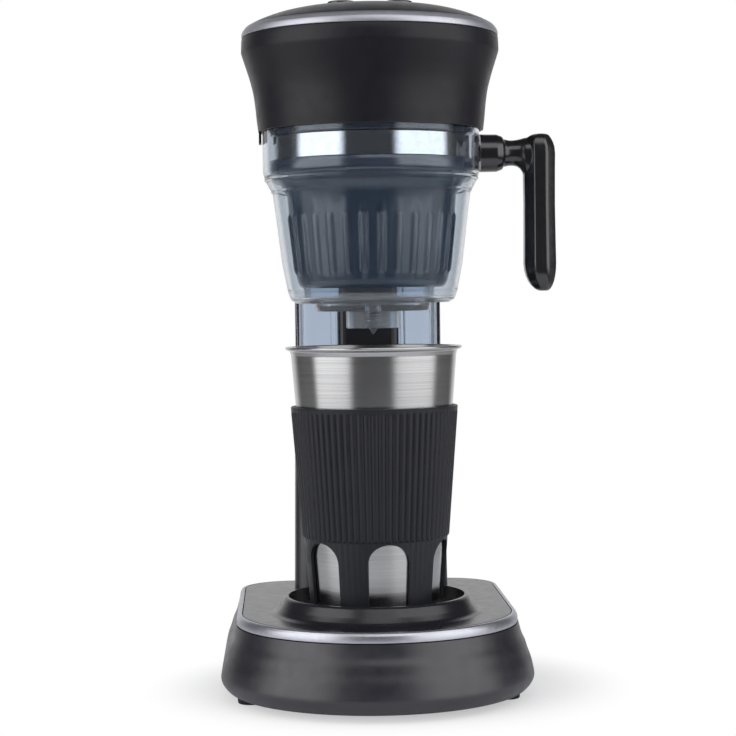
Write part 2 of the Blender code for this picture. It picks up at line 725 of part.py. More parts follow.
def make_feet(axis, material):
    for number, (x, y) in enumerate(foot_places(), start=1):
        foot = turned("foot_" + str(number),
                      [(FOOT_RADIUS - FOOT_CHAMFER, 0), (FOOT_RADIUS, FOOT_CHAMFER),
                       (FOOT_RADIUS, BASE_UNDERSIDE - GAP)], material, axis, SMALL_TURNS)
        foot.location = (x, y, 0)


def make_cover_screws(axis, material):
    for number, (x, y) in enumerate(screw_places(), start=1):
        top = BASE_UNDERSIDE + SCREW_HEAD_HEIGHT
        screw = turned("cover_screw_" + str(number),
                       [(SCREW_SOCKET_RADIUS, BASE_UNDERSIDE + SCREW_HEAD_HEIGHT / 2),
                        (SCREW_SOCKET_RADIUS, BASE_UNDERSIDE),
                        (SCREW_HEAD_RADIUS, BASE_UNDERSIDE), (SCREW_HEAD_RADIUS, top),
                        (SCREW_RADIUS, top), (SCREW_RADIUS, COVER_TOP + SCREW_LENGTH)],
                       material, axis, TINY_TURNS)
        screw.location = (x, y, 0)


# Heater, board and water ways.

def boiler_stand_places():
    leg_x = (BOILER_OUTER + BOILER_INNER) / 2
    return [(BOILER_X - leg_x, BOILER_Y), (BOILER_X + leg_x, BOILER_Y),
            (BOILER_X, BOILER_Y - leg_x)]


def board_stand_places():
    inset = STAND_RADIUS * 1.5
    return [(side * (BOARD_HALF_WIDTH - inset), y) for side in (-1, 1)
            for y in (BOARD_FRONT + inset, BOARD_REAR - inset)]


def make_boiler_block(axis, material):
    """A horseshoe casting, its bend to the front and its legs to the back."""
    rear = BOILER_Y + BOILER_LEG
    outline = ([(BOILER_X - BOILER_OUTER, rear)]
               + arc(BOILER_X, BOILER_Y, BOILER_OUTER, pi, 2 * pi, BOILER_ARC_STEPS)
               + [(BOILER_X + BOILER_OUTER, rear), (BOILER_X + BOILER_INNER, rear)]
               + arc(BOILER_X, BOILER_Y, BOILER_INNER, 2 * pi, pi, BOILER_ARC_STEPS)
               + [(BOILER_X - BOILER_INNER, rear)])
    block = slab("boiler_block", outline, BOILER_BOTTOM, BOILER_TOP, material, axis)
    chamfer(block, BOILER_HEIGHT * 0.12)


def make_thermostat(axis, material):
    bottom = BOILER_TOP + GAP
    cap = turned("thermostat", [(THERMOSTAT_RADIUS, bottom),
                                (THERMOSTAT_RADIUS, bottom + THERMOSTAT_HEIGHT * 0.4),
                                (THERMOSTAT_RADIUS * 0.7, bottom + THERMOSTAT_HEIGHT * 0.4),
                                (THERMOSTAT_RADIUS * 0.7, bottom + THERMOSTAT_HEIGHT)],
                 material, axis, SMALL_TURNS)
    cap.location = (BOILER_X, BOILER_Y - (BOILER_OUTER + BOILER_INNER) / 2, 0)


def make_control_board(axis, material):
    outline = rounded_rectangle(BOARD_HALF_WIDTH, BOARD_FRONT, BOARD_REAR, STAND_RADIUS)
    slab("control_board", outline, BOARD_BOTTOM, BOARD_BOTTOM + BOARD_THICKNESS, material, axis)


def make_riser_tube(axis, material):
    """From the boiler's right leg up the spine, over into the head and down to its floor."""
    leg_x = BOILER_X + (BOILER_OUTER + BOILER_INNER) / 2
    leg_y = BOILER_Y + BOILER_LEG / 2
    low = BOILER_TOP + GAP
    bend = RISER_RADIUS * 4
    corners = [Vector((leg_x, leg_y, low)),
               Vector((leg_x, leg_y, low + bend)),
               Vector((leg_x, leg_y, DECK_TOP + bend)),
               Vector((RISER_X, RISER_Y, PEDESTAL_TOP - 2 * bend)),
               Vector((RISER_X, RISER_Y, PEDESTAL_TOP)),
               Vector((RISER_X, RISER_Y, PEDESTAL_TOP + (HEAD_BOTTOM - PEDESTAL_TOP) / 2)),
               Vector((RISER_X, RISER_Y, HEAD_BOTTOM + bend)),
               Vector((RISER_X, RISER_Y - bend / 2, RISER_CREST - RISER_RADIUS)),
               Vector((RISER_X, (RISER_Y + RISER_END_Y) / 2, RISER_CREST)),
               Vector((RISER_END_X, RISER_END_Y + RISER_RADIUS, RISER_CREST - RISER_RADIUS)),
               Vector((RISER_END_X, RISER_END_Y, FLOOR_TOP + RISER_RADIUS * 2)),
               Vector((RISER_END_X, RISER_END_Y, FLOOR_TOP + GAP))]
    tube("riser_tube", smooth_route(corners, 2), RISER_RADIUS, material, axis)


def make_water_hose(axis, material):
    """From the tank's outlet down into the boiler's left leg."""
    leg_x = BOILER_X - (BOILER_OUTER + BOILER_INNER) / 2
    leg_y = BOILER_Y + BOILER_LEG / 2
    high = TANK_BOTTOM - OUTLET_DROP - GAP
    bend = HOSE_RADIUS * 4
    corners = [Vector((OUTLET_X, OUTLET_Y, high)),
               Vector((OUTLET_X, OUTLET_Y, high - bend)),
               Vector((0, OUTLET_Y, (high + DECK_TOP) / 2)),
               Vector((leg_x, leg_y, DECK_TOP + bend / 2)),
               Vector((leg_x, leg_y, BOILER_TOP + bend / 2)),
               Vector((leg_x, leg_y, BOILER_TOP + GAP))]
    tube("water_hose", smooth_route(corners, 3), HOSE_RADIUS, material, axis)


def skirt_inside_at(height):
    """How far the skirt's inner face stands out from the base's plan at a height."""
    level = (height - BASE_UNDERSIDE) / (SKIRT_TOP - BASE_UNDERSIDE)
    for (high_out, high_up), (low_out, low_up) in zip(SKIRT_INSIDE_SHARES,
                                                      SKIRT_INSIDE_SHARES[1:]):
        if low_up <= level <= high_up and high_up > low_up:
            share = low_out + (high_out - low_out) * (level - low_up) / (high_up - low_up)
            return SKIRT_FLARE * share - SKIRT_WALL
    return SKIRT_FLARE * SKIRT_INSIDE_SHARES[0][0] - SKIRT_WALL


def make_cord_gland(axis, material):
    """The bush that the cord leaves by, with its flange behind the skirt's back wall."""
    wide = GLAND_RADIUS + GLAND_FLANGE
    seat = skirt_inside_at(GLAND_LEVEL + wide) - GAP
    end = SKIRT_FLARE - GAP
    gland = turned("cord_gland", [(GLAND_BORE, seat - GLAND_FLANGE_THICKNESS),
                                  (wide, seat - GLAND_FLANGE_THICKNESS), (wide, seat),
                                  (GLAND_RADIUS, seat), (GLAND_RADIUS, end),
                                  (GLAND_BORE, end)],
                   material, axis, SMALL_TURNS, ring=True)
    gland.rotation_euler = (-pi / 2, 0, 0)
    gland.location = (GLAND_X, PLAN_REAR, GLAND_LEVEL)


# Column: pedestal, spine and neck.

def make_pedestal(axis, material):
    bottom = DECK_TOP + GAP

    def ring(less, half_width, height):
        return at_height(rounded_rectangle(half_width - less, PEDESTAL_FRONT + less,
                                           PEDESTAL_REAR - less, PEDESTAL_CORNER - less / 2),
                         height)

    narrow = PEDESTAL_HALF_WIDTH - PEDESTAL_TAPER
    rings = [ring(PEDESTAL_WALL, narrow, PEDESTAL_TOP - PEDESTAL_WALL),
             ring(PEDESTAL_WALL, PEDESTAL_HALF_WIDTH, bottom),
             ring(0, PEDESTAL_HALF_WIDTH, bottom),
             ring(0, narrow, PEDESTAL_TOP - PEDESTAL_WALL / 2),
             ring(PEDESTAL_WALL / 2, narrow, PEDESTAL_TOP)]
    column = lofted("pedestal", rings, material, axis)
    cut(column, posts("pedestal_riser_hole", [(RISER_X, RISER_Y)], RISER_RADIUS * 1.6,
                      PEDESTAL_TOP - PEDESTAL_WALL - OVERRUN, PEDESTAL_TOP + OVERRUN, axis))
    cut(column, posts("pedestal_outlet_hole", [(OUTLET_X, OUTLET_Y)],
                      OUTLET_RADIUS + SEAL_THICKNESS + 2 * GAP,
                      PEDESTAL_TOP - PEDESTAL_WALL - OVERRUN, PEDESTAL_TOP + OVERRUN, axis,
                      SMALL_TURNS))


def make_spine_front(axis, material):
    """A channel, open to the back, that the riser tube climbs in."""
    rear = SPINE_REAR - SPINE_WALL - GAP
    x = SPINE_HALF_WIDTH - SPINE_CORNER
    y = SPINE_FRONT + SPINE_CORNER
    inner = SPINE_HALF_WIDTH - SPINE_WALL
    outline = ([(-SPINE_HALF_WIDTH, rear)]
               + arc(-x, y, SPINE_CORNER, pi, 1.5 * pi, 4)
               + arc(x, y, SPINE_CORNER, 1.5 * pi, 2 * pi, 4)
               + [(SPINE_HALF_WIDTH, rear), (inner, rear)]
               + arc(x, y, SPINE_CORNER - SPINE_WALL, 2 * pi, 1.5 * pi, 4)
               + arc(-x, y, SPINE_CORNER - SPINE_WALL, 1.5 * pi, pi, 4)
               + [(-inner, rear)])
    slab("spine_front", outline, PEDESTAL_TOP + GAP, HEAD_BOTTOM, material, axis)


def make_spine_rear(axis, material):
    """The spine's back cover, with two lips that clip inside the channel."""
    back = SPINE_REAR
    face = SPINE_REAR - SPINE_WALL
    lip = SPINE_HALF_WIDTH - SPINE_WALL - GAP
    depth = face - SPINE_WALL * 2
    outline = [(-SPINE_HALF_WIDTH, face), (-lip, face), (-lip, depth),
               (-lip + SPINE_WALL * 0.7, depth), (-lip + SPINE_WALL * 0.7, face),
               (lip - SPINE_WALL * 0.7, face), (lip - SPINE_WALL * 0.7, depth),
               (lip, depth), (lip, face), (SPINE_HALF_WIDTH, face),
               (SPINE_HALF_WIDTH, back - SPINE_WALL / 3),
               (SPINE_HALF_WIDTH - SPINE_WALL / 3, back),
               (-SPINE_HALF_WIDTH + SPINE_WALL / 3, back),
               (-SPINE_HALF_WIDTH, back - SPINE_WALL / 3)]
    slab("spine_rear", outline, PEDESTAL_TOP + GAP, HEAD_BOTTOM, material, axis)


def head_profile(less=0):
    return flared(HEAD_FLARE_SHARES, HEAD_RADIUS, HEAD_BOTTOM, HEAD_SHELL_TOP, less)


def make_head_neck(axis, material):
    """The hollow bridge that carries the head on the spine."""
    bottom = HEAD_BOTTOM + GAP
    front = HEAD_RADIUS * MOUTH_SHARE * 0.86
    outer = rounded_rectangle(SPINE_HALF_WIDTH, front, SPINE_REAR, SPINE_CORNER)
    neck = slab("head_neck", outer, bottom, NECK_TOP, material, axis)
    inner = rounded_rectangle(SPINE_HALF_WIDTH - NECK_WALL, front - OVERRUN,
                              SPINE_REAR - NECK_WALL, SPINE_CORNER - NECK_WALL / 2)
    cut(neck, slab("neck_inside", inner, bottom - OVERRUN, NECK_TOP - NECK_WALL, None, axis))
    around = [(radius + GAP, height) for radius, height in head_profile()]
    around[0] = (around[0][0], HEAD_BOTTOM - OVERRUN)
    cut(neck, turned("neck_seat", around, None, axis))


# Tank.

def tank_outline(less, front=TANK_FRONT):
    """The U of the tank round the spine, moved inward by less."""
    notch = SPINE_HALF_WIDTH + TANK_NOTCH_MARGIN + less
    depth = SPINE_REAR + TANK_NOTCH_MARGIN + less
    x = TANK_HALF_WIDTH - TANK_CORNER
    corner = TANK_CORNER - less
    small = TANK_CORNER / 4
    return (arc(-x, front + TANK_CORNER, corner, pi, 1.5 * pi, 4)
            + [(-notch - small, front + less), (-notch, front + less + small),
               (-notch, depth - small), (-notch + small, depth),
               (notch - small, depth), (notch, depth - small),
               (notch, front + less + small), (notch + small, front + less)]
            + arc(x, front + TANK_CORNER, corner, 1.5 * pi, 2 * pi, 4)
            + arc(x, TANK_REAR - TANK_CORNER, corner, 0, pi / 2, 4)
            + arc(-x, TANK_REAR - TANK_CORNER, corner, pi / 2, pi, 4))


def knuckle(name, start, end, radius, parent):
    """A cylinder along the lid's pin between two places in x."""
    piece = turned(name, [(radius, start), (radius, end)], None, parent, TINY_TURNS)
    piece.rotation_euler = (0, pi / 2, 0)
    piece.location = (0, LID_PIN_Y, LID_PIN_Z)
    return piece


def make_water_tank(axis, material):
    floor = TANK_BOTTOM + TANK_WALL
    rings = [at_height(tank_outline(0), TANK_BOTTOM), at_height(tank_outline(0), TANK_TOP),
             at_height(tank_outline(TANK_WALL), TANK_TOP),
             at_height(tank_outline(TANK_WALL), floor)]
    tank = lofted("water_tank", rings, material, axis)
    rib_front = TANK_FRONT + TANK_WALL / 2
    rib = slab("tank_rib", [(TANK_RIB_X, rib_front), (TANK_RIB_X + TANK_RIB_WIDTH, rib_front),
                            (TANK_RIB_X + TANK_RIB_WIDTH, rib_front + TANK_RIB_DEPTH),
                            (TANK_RIB_X, rib_front + TANK_RIB_DEPTH)],
               floor - TANK_WALL / 2, TANK_TOP - TANK_CORNER, None, axis)
    fuse(tank, rib)
    fuse(tank, posts("tank_outlet", [(OUTLET_X, OUTLET_Y)], OUTLET_RADIUS,
                     TANK_BOTTOM - OUTLET_DROP, floor - TANK_WALL / 2, axis, SMALL_TURNS))
    for side in (-1, 1):
        near = side * (LID_KNUCKLE_HALF_LENGTH + GAP)
        far = side * (LID_KNUCKLE_HALF_LENGTH + GAP + LID_EAR_LENGTH)
        low = LID_PIN_Z - LID_KNUCKLE_RADIUS * 2.4
        ear = slab("tank_ear_" + str(side), [(near, TANK_REAR - TANK_WALL / 2),
                                             (far, TANK_REAR - TANK_WALL / 2),
                                             (far, LID_PIN_Y + LID_KNUCKLE_RADIUS * 0.7),
                                             (near, LID_PIN_Y + LID_KNUCKLE_RADIUS * 0.7)],
                   low, TANK_TOP - GAP, None, axis)
        fuse(tank, ear)
        fuse(tank, knuckle("tank_knuckle_" + str(side), near, far, LID_KNUCKLE_RADIUS, axis))
    cut(tank, knuckle("tank_pin_bore", -TANK_HALF_WIDTH, TANK_HALF_WIDTH,
                      LID_PIN_RADIUS + GAP, axis))
    cut(tank, posts("tank_bore", [(OUTLET_X, OUTLET_Y)], OUTLET_BORE,
                    TANK_BOTTOM - OUTLET_DROP - OVERRUN, floor + OVERRUN, axis))


def make_tank_seal(axis, material):
    inner = OUTLET_RADIUS + GAP
    outer = inner + SEAL_THICKNESS
    ring = turned("tank_seal", [(inner, PEDESTAL_TOP - PEDESTAL_WALL),
                                (inner, PEDESTAL_TOP - GAP), (outer, PEDESTAL_TOP - GAP),
                                (outer, PEDESTAL_TOP - PEDESTAL_WALL)],
                  material, axis, SMALL_TURNS, ring=True)
    ring.location = (OUTLET_X, OUTLET_Y, 0)


def make_tank_lid(axis, pivot, material):
    """A plate with the tank's outline, a rim inside the tank and a knuckle at the back."""
    top = LID_BOTTOM + LID_THICKNESS
    front = TANK_FRONT + LID_FRONT_MARGIN
    lid = slab("tank_lid", tank_outline(0, front), LID_BOTTOM, top, material, pivot)
    shift = -pivot.location
    lid.location = shift
    chamfer(lid, LID_THICKNESS * 0.2)
    barrel = knuckle("lid_barrel", -LID_KNUCKLE_HALF_LENGTH, LID_KNUCKLE_HALF_LENGTH,
                     LID_KNUCKLE_RADIUS, pivot)
    barrel.location = (0, 0, 0)
    fuse(lid, barrel)
    web = slab("lid_web", [(-LID_KNUCKLE_HALF_LENGTH, TANK_REAR - TANK_WALL),
                           (LID_KNUCKLE_HALF_LENGTH, TANK_REAR - TANK_WALL),
                           (LID_KNUCKLE_HALF_LENGTH, LID_PIN_Y),
                           (-LID_KNUCKLE_HALF_LENGTH, LID_PIN_Y)],
               LID_BOTTOM + LID_THICKNESS * 0.25, top - LID_THICKNESS * 0.25, None, pivot)
    web.location = shift
    fuse(lid, web)
    bore = knuckle("lid_bore", -TANK_HALF_WIDTH, TANK_HALF_WIDTH, LID_PIN_RADIUS + GAP, pivot)
    bore.location = (0, 0, 0)
    cut(lid, bore)


def make_lid_hinge_pin(axis, material):
    reach = LID_KNUCKLE_HALF_LENGTH + LID_EAR_LENGTH
    pin = turned("lid_hinge_pin", [(LID_PIN_RADIUS, -reach), (LID_PIN_RADIUS, reach)],
                 material, axis, TINY_TURNS)
    pin.rotation_euler = (0, pi / 2, 0)
    pin.location = (0, LID_PIN_Y, LID_PIN_Z)


# Head.

def make_head_shell(axis, material):
    mouth = HEAD_RADIUS * MOUTH_SHARE - HEAD_MOUTH_WALL
    inside = flared(HEAD_INSIDE_SHARES, HEAD_RADIUS, HEAD_BOTTOM, HEAD_SHELL_TOP, HEAD_WALL)
    seat = FLOOR_TOP + GAP
    profile = head_profile() + inside + [(mouth, seat), (mouth, HEAD_BOTTOM)]
    shell = turned("head_shell", profile, material, axis, ring=True)
    inset = HEAD_MOUTH_WALL / 6
    tab = sectors("lock_tab", mouth + inset, mouth + HEAD_MOUTH_WALL - inset,
                  HEAD_BOTTOM - LOCK_TAB_DROP, HEAD_BOTTOM + LOCK_TAB_DROP / 2, 1, pi,
                  LOCK_TAB_HALF_ANGLE, axis)
    fuse(shell, tab)
    way = rounded_rectangle(SPINE_HALF_WIDTH - NECK_WALL * 1.5, HEAD_RADIUS * 0.7,
                            HEAD_RADIUS * 1.2, SPINE_CORNER)
    cut(shell, slab("neck_way", way, FLOOR_TOP + NECK_WALL * 2, NECK_TOP - NECK_WALL * 2,
                    None, axis))


def make_head_trim(axis, material):
    inner = HEAD_TRIM_TOP_RADIUS - HEAD_TRIM_WIDTH
    height = HEAD_TRIM_HEIGHT
    low = HEAD_RADIUS - GAP
    turned("head_trim", [(low, TRIM_RING_BOTTOM), (low, TRIM_RING_BOTTOM + height * 0.25),
                         (low * 0.7 + HEAD_TRIM_TOP_RADIUS * 0.3, TRIM_RING_BOTTOM + height * 0.6),
                         (low * 0.25 + HEAD_TRIM_TOP_RADIUS * 0.75,
                          TRIM_RING_BOTTOM + height * 0.9),
                         (HEAD_TRIM_TOP_RADIUS, TRIM_RING_TOP), (inner, TRIM_RING_TOP),
                         (inner, TRIM_RING_BOTTOM)], material, axis, ring=True)


def dome_height(radius, less=0):
    return DOME_BOTTOM + DOME_RISE * (1 - (radius / DOME_RADIUS) ** DOME_POWER) - less


def button_places():
    return {"grind_button": -BUTTON_X, "brew_button": BUTTON_X}


def make_head_cap(axis, material):
    spigot = HEAD_TRIM_TOP_RADIUS - HEAD_TRIM_WIDTH - GAP
    outside = [(DOME_RADIUS * share, dome_height(DOME_RADIUS * share))
               for share in DOME_RIM_SHARES]
    inside = [(DOME_RADIUS * share, dome_height(DOME_RADIUS * share, DOME_WALL))
              for share in reversed(DOME_RIM_SHARES[3:])]
    profile = (outside + inside
               + [(spigot - DOME_WALL, DOME_BOTTOM), (spigot - DOME_WALL, SWITCH_PLATE_BOTTOM),
                  (spigot, SWITCH_PLATE_BOTTOM), (spigot, DOME_BOTTOM)])
    split = len(outside)
    rings = [circle(radius, height, TURNS) for radius, height in profile]
    order = rings[split:] + rings[:split]
    cap = lofted("head_cap", order, material, axis)
    places = [(x, BUTTON_Y) for x in button_places().values()]
    cut(cap, posts("button_holes", places, BUTTON_RADIUS + GAP,
                   DOME_BOTTOM, DOME_TOP + OVERRUN, axis, SMALL_TURNS))


def make_switch_plate(axis, material):
    radius = HEAD_TRIM_TOP_RADIUS - HEAD_TRIM_WIDTH - DOME_WALL - 2 * GAP
    turned("switch_plate", [(radius, SWITCH_PLATE_BOTTOM),
                            (radius, SWITCH_PLATE_BOTTOM + SWITCH_PLATE_THICKNESS)],
           material, axis)


def make_button(name, x, axis, material):
    """A push button with the flange that keeps it under the dome."""
    pivot = empty(name + "_slide", (x, BUTTON_Y, BUTTON_SEAT), axis)
    wide = BUTTON_RADIUS + BUTTON_FLANGE
    top = BUTTON_TOP - BUTTON_SEAT
    turned(name, [(wide, 0), (wide, BUTTON_FLANGE_THICKNESS),
                  (BUTTON_RADIUS, BUTTON_FLANGE_THICKNESS),
                  (BUTTON_RADIUS, top - BUTTON_CHAMFER), (BUTTON_RADIUS - BUTTON_CHAMFER, top),
                  (BUTTON_RADIUS * 0.6, top - BUTTON_CHAMFER * 0.5)],
           material, pivot, SMALL_TURNS)


def make_switch(name, x, axis, material):
    bottom = SWITCH_PLATE_BOTTOM + SWITCH_PLATE_THICKNESS + GAP
    top = BUTTON_SEAT - BUTTON_TRAVEL - GAP
    body = slab(name, rounded_rectangle(SWITCH_HALF_SIDE, -SWITCH_HALF_SIDE, SWITCH_HALF_SIDE,
                                        SWITCH_HALF_SIDE / 4, 1),
                bottom, top - SWITCH_PLUNGER, material, axis)
    body.location = (x, BUTTON_Y, 0)
    fuse(body, posts(name + "_plunger", [(x, BUTTON_Y)], SWITCH_HALF_SIDE / 2,
                     bottom + SWITCH_PLUNGER / 2, top, axis))


def make_head_base(axis, material):
    """The head's floor with a hub for the shaft and the bayonet ring below it."""
    edge = HEAD_RADIUS * MOUTH_SHARE - HEAD_MOUTH_WALL - GAP
    inner = RING_RADIUS - RING_WALL
    floor = turned("head_base", [(HUB_BORE, FLOOR_UNDERSIDE), (HUB_BORE, FLOOR_TOP),
                                 (edge, FLOOR_TOP), (edge, FLOOR_UNDERSIDE),
                                 (RING_RADIUS, FLOOR_UNDERSIDE), (RING_RADIUS, RING_BOTTOM),
                                 (inner, RING_BOTTOM), (inner, FLOOR_UNDERSIDE)],
                   material, axis, ring=True)
    fuse(floor, sectors("ring_lugs", RING_RADIUS - RING_WALL / 2, RING_RADIUS + LUG_REACH,
                        RING_BOTTOM, RING_BOTTOM + LUG_HEIGHT, LUG_COUNT, LUG_TURN,
                        LUG_HALF_ANGLE, axis))
    cut(floor, posts("riser_way", [(RISER_END_X, RISER_END_Y)], RISER_RADIUS * 0.7,
                     FLOOR_UNDERSIDE - OVERRUN, FLOOR_TOP + OVERRUN, axis))


def shower_holes():
    """Places of the drip holes, in rings round the shaft."""
    places = []
    for share, count in zip(SHOWER_RING_SHARES, SHOWER_RING_COUNTS):
        radius = SHOWER_RADIUS * share
        turns = [SHOWER_TURN + 2 * pi * i / count for i in range(count)]
        places += [(radius * cos(turn), radius * sin(turn)) for turn in turns]
    return places


def make_shower_plate(axis, material):
    top = FLOOR_UNDERSIDE - SHOWER_DROP
    bottom = top - SHOWER_THICKNESS
    bore = HUB_BORE + GAP * 2
    plate = turned("shower_plate", [(bore, bottom), (bore, top), (SHOWER_RADIUS, top),
                                    (SHOWER_RADIUS, bottom)], material, axis, ring=True)
    cut(plate, posts("shower_holes", shower_holes(), SHOWER_HOLE, bottom - OVERRUN,
                     top + OVERRUN, axis, 6))
    reach = SHOWER_RADIUS * SHOWER_STUD_SHARE
    studs = [(reach * cos(turn), reach * sin(turn))
             for turn in (radians(15), radians(135), radians(255))]
    fuse(plate, posts("shower_studs", studs, SHOWER_STUD, bottom + SHOWER_THICKNESS / 2,
                      FLOOR_UNDERSIDE - GAP, axis))


# Grinder.

def make_motor(axis, material):
    top = MOTOR_BOTTOM + MOTOR_HEIGHT
    turned("motor", [(MOTOR_RADIUS, MOTOR_BOTTOM), (MOTOR_RADIUS, top - MOTOR_BOSS_HEIGHT),
                     (MOTOR_RADIUS * 0.9, top - MOTOR_BOSS_HEIGHT * 0.6),
                     (MOTOR_BOSS_RADIUS, top - MOTOR_BOSS_HEIGHT * 0.6),
                     (MOTOR_BOSS_RADIUS, top)], material, axis, SMALL_TURNS)


def make_motor_mount(axis, material):
    top = MOUNT_BOTTOM + MOUNT_PLATE
    inner = MOTOR_RADIUS + GAP
    outer = inner + MOUNT_WALL
    bore = BUSH_FLANGE_RADIUS + GAP
    turned("motor_mount", [(bore, MOUNT_BOTTOM), (bore, top), (inner, top),
                           (inner, MOUNT_BOTTOM + MOUNT_COLLAR),
                           (outer, MOUNT_BOTTOM + MOUNT_COLLAR), (outer, top),
                           (MOUNT_FLANGE_RADIUS, top), (MOUNT_FLANGE_RADIUS, MOUNT_BOTTOM)],
           material, axis, SMALL_TURNS, ring=True)


def make_shaft_bush(axis, material):
    """The seal and bearing in the floor's hub, with a flange above the floor."""
    inner = SHAFT_RADIUS + GAP
    outer = HUB_BORE - GAP
    turned("shaft_bush", [(inner, FLOOR_UNDERSIDE - SHOWER_DROP),
                          (inner, MOUNT_BOTTOM + BUSH_FLANGE),
                          (BUSH_FLANGE_RADIUS, MOUNT_BOTTOM + BUSH_FLANGE),
                          (BUSH_FLANGE_RADIUS, MOUNT_BOTTOM), (outer, MOUNT_BOTTOM),
                          (outer, FLOOR_UNDERSIDE - SHOWER_DROP)],
           material, axis, SMALL_TURNS, ring=True)


def make_blade_shaft(pivot, material):
    bottom = BLADE_LEVEL - BLADE_HUB_HEIGHT / 2 - NUT_HEIGHT - GAP
    turned("blade_shaft", [(SHAFT_RADIUS * 0.7, bottom), (SHAFT_RADIUS, bottom + GAP),
                           (SHAFT_RADIUS, MOTOR_BOTTOM - GAP)], material, pivot, TINY_TURNS)


def make_blade(pivot, material):
    """Two wings, twisted opposite ways and turned up at the tips, on one hub."""
    rings = []
    for share in BLADE_STATION_SHARES:
        rise = BLADE_TIP_RISE * max(abs(share) - 0.3, 0) ** 2 / 0.49
        twist = BLADE_TWIST * share
        half = BLADE_CHORD / 2 * (1 - 0.35 * share * share)
        corners = ((-half, -0.5), (half, -0.5), (half, 0.5), (-half, 0.5))
        rings.append([Vector((BLADE_REACH * share,
                              y * cos(twist) - BLADE_THICKNESS * side * sin(twist),
                              BLADE_LEVEL + rise + y * sin(twist)
                              + BLADE_THICKNESS * side * cos(twist)))
                      for y, side in corners])
    blade = lofted("blade", rings, material, pivot)
    low = BLADE_LEVEL - BLADE_HUB_HEIGHT / 2
    fuse(blade, posts("blade_hub", [(0, 0)], BLADE_HUB_RADIUS, low, low + BLADE_HUB_HEIGHT,
                      pivot, SMALL_TURNS))
    cut(blade, posts("blade_bore", [(0, 0)], SHAFT_RADIUS + GAP, low - OVERRUN,
                     low + BLADE_HUB_HEIGHT + OVERRUN, pivot, SMALL_TURNS))


def make_blade_nut(pivot, material):
    top = BLADE_LEVEL - BLADE_HUB_HEIGHT / 2 - GAP
    nut = turned("blade_nut", [(SHAFT_RADIUS + GAP, top - NUT_HEIGHT),
                               (SHAFT_RADIUS + GAP, top), (NUT_RADIUS, top),
                               (NUT_RADIUS, top - NUT_HEIGHT)], material, pivot, 12, ring=True)
    nut.data.shade_flat()


# Jug.

def make_jug_body(pivot, material):
    """A clear bowl: rim, shoulder, tapered wall, stepped bottom, cage and inward lugs."""
    outside = flared(JUG_OUTSIDE_SHARES, JUG_RADIUS, JUG_BOTTOM, JUG_TOP)
    inside = flared(JUG_INSIDE_SHARES, JUG_RADIUS, JUG_BOTTOM, JUG_TOP, JUG_WALL)
    step = JUG_BOTTOM - JUG_STEP_HEIGHT
    cage_inner = CAGE_RADIUS - CAGE_WALL
    rim_inner = JUG_RADIUS - JUG_WALL
    floor = JUG_BOTTOM + JUG_WALL
    below = [(JUG_STEP_RADIUS, JUG_BOTTOM), (JUG_STEP_RADIUS - JUG_STEP_DRAFT, step),
             (CAGE_RADIUS, step),
             (CAGE_RADIUS, CAGE_BOTTOM), (cage_inner, CAGE_BOTTOM),
             (cage_inner, CAGE_CEILING), (VALVE_BORE, CAGE_CEILING),
             (VALVE_BORE, SUMP_LEVEL), (SUMP_RADIUS, SUMP_LEVEL),
             (SUMP_RADIUS + JUG_WALL, floor),
             (JUG_RADIUS * JUG_OUTSIDE_SHARES[0][0] - JUG_WALL / 2, floor)]
    top = [(rim_inner + JUG_WALL * 0.35, JUG_TOP), (rim_inner, JUG_TOP - JUG_WALL * 0.4)]
    profile = below + inside[::-1] + top[::-1] + outside[::-1]
    jug = turned("jug_body", profile, material, pivot, ring=True)
    lug_low = RING_BOTTOM + LUG_HEIGHT + GAP
    fuse(jug, sectors("jug_lugs", rim_inner - LUG_REACH, rim_inner + JUG_WALL / 2, lug_low,
                      lug_low + LUG_HEIGHT, LUG_COUNT, LUG_TURN, LUG_HALF_ANGLE, pivot))
    stub = turned("handle_stub", [(HANDLE_STUB_RADIUS, JUG_RADIUS - JUG_WALL / 2),
                                  (HANDLE_STUB_RADIUS, JUG_RADIUS + HANDLE_STUB_LENGTH)],
                  None, pivot, TINY_TURNS)
    lay_along_x(stub)
    fuse(jug, stub)
    bore = turned("stub_bore", [(HANDLE_SCREW_RADIUS + GAP,
                                 JUG_RADIUS + HANDLE_STUB_LENGTH - HANDLE_SCREW_DEPTH),
                                (HANDLE_SCREW_RADIUS + GAP,
                                 JUG_RADIUS + HANDLE_STUB_LENGTH + OVERRUN)],
                  None, pivot, TINY_TURNS)
    lay_along_x(bore)
    cut(jug, bore)


def lay_along_x(piece):
    """Turn a piece made along Z to lie along X at the handle's height."""
    piece.rotation_euler = (0, pi / 2, 0)
    piece.location = (0, 0, HANDLE_LEVEL)


def make_handle_collar(pivot, material):
    """A rounded collar, hollow over the jug's stub and cut to the jug's wall."""
    start = JUG_RADIUS - JUG_WALL
    collar = turned("handle_collar", [(HANDLE_STUB_RADIUS + GAP, start),
                                      (HANDLE_STUB_RADIUS + GAP, COLLAR_END),
                                      (COLLAR_RADIUS - COLLAR_CHAMFER, COLLAR_END),
                                      (COLLAR_RADIUS - COLLAR_CHAMFER / 3,
                                       COLLAR_END - COLLAR_CHAMFER / 3),
                                      (COLLAR_RADIUS, COLLAR_END - COLLAR_CHAMFER),
                                      (COLLAR_RADIUS, start)],
                    material, pivot, SMALL_TURNS, ring=True)
    lay_along_x(collar)
    wall = turned("collar_seat", [(JUG_RADIUS + GAP, JUG_BOTTOM), (JUG_RADIUS + GAP, FLOOR_TOP)],
                  None, pivot)
    cut(collar, wall)


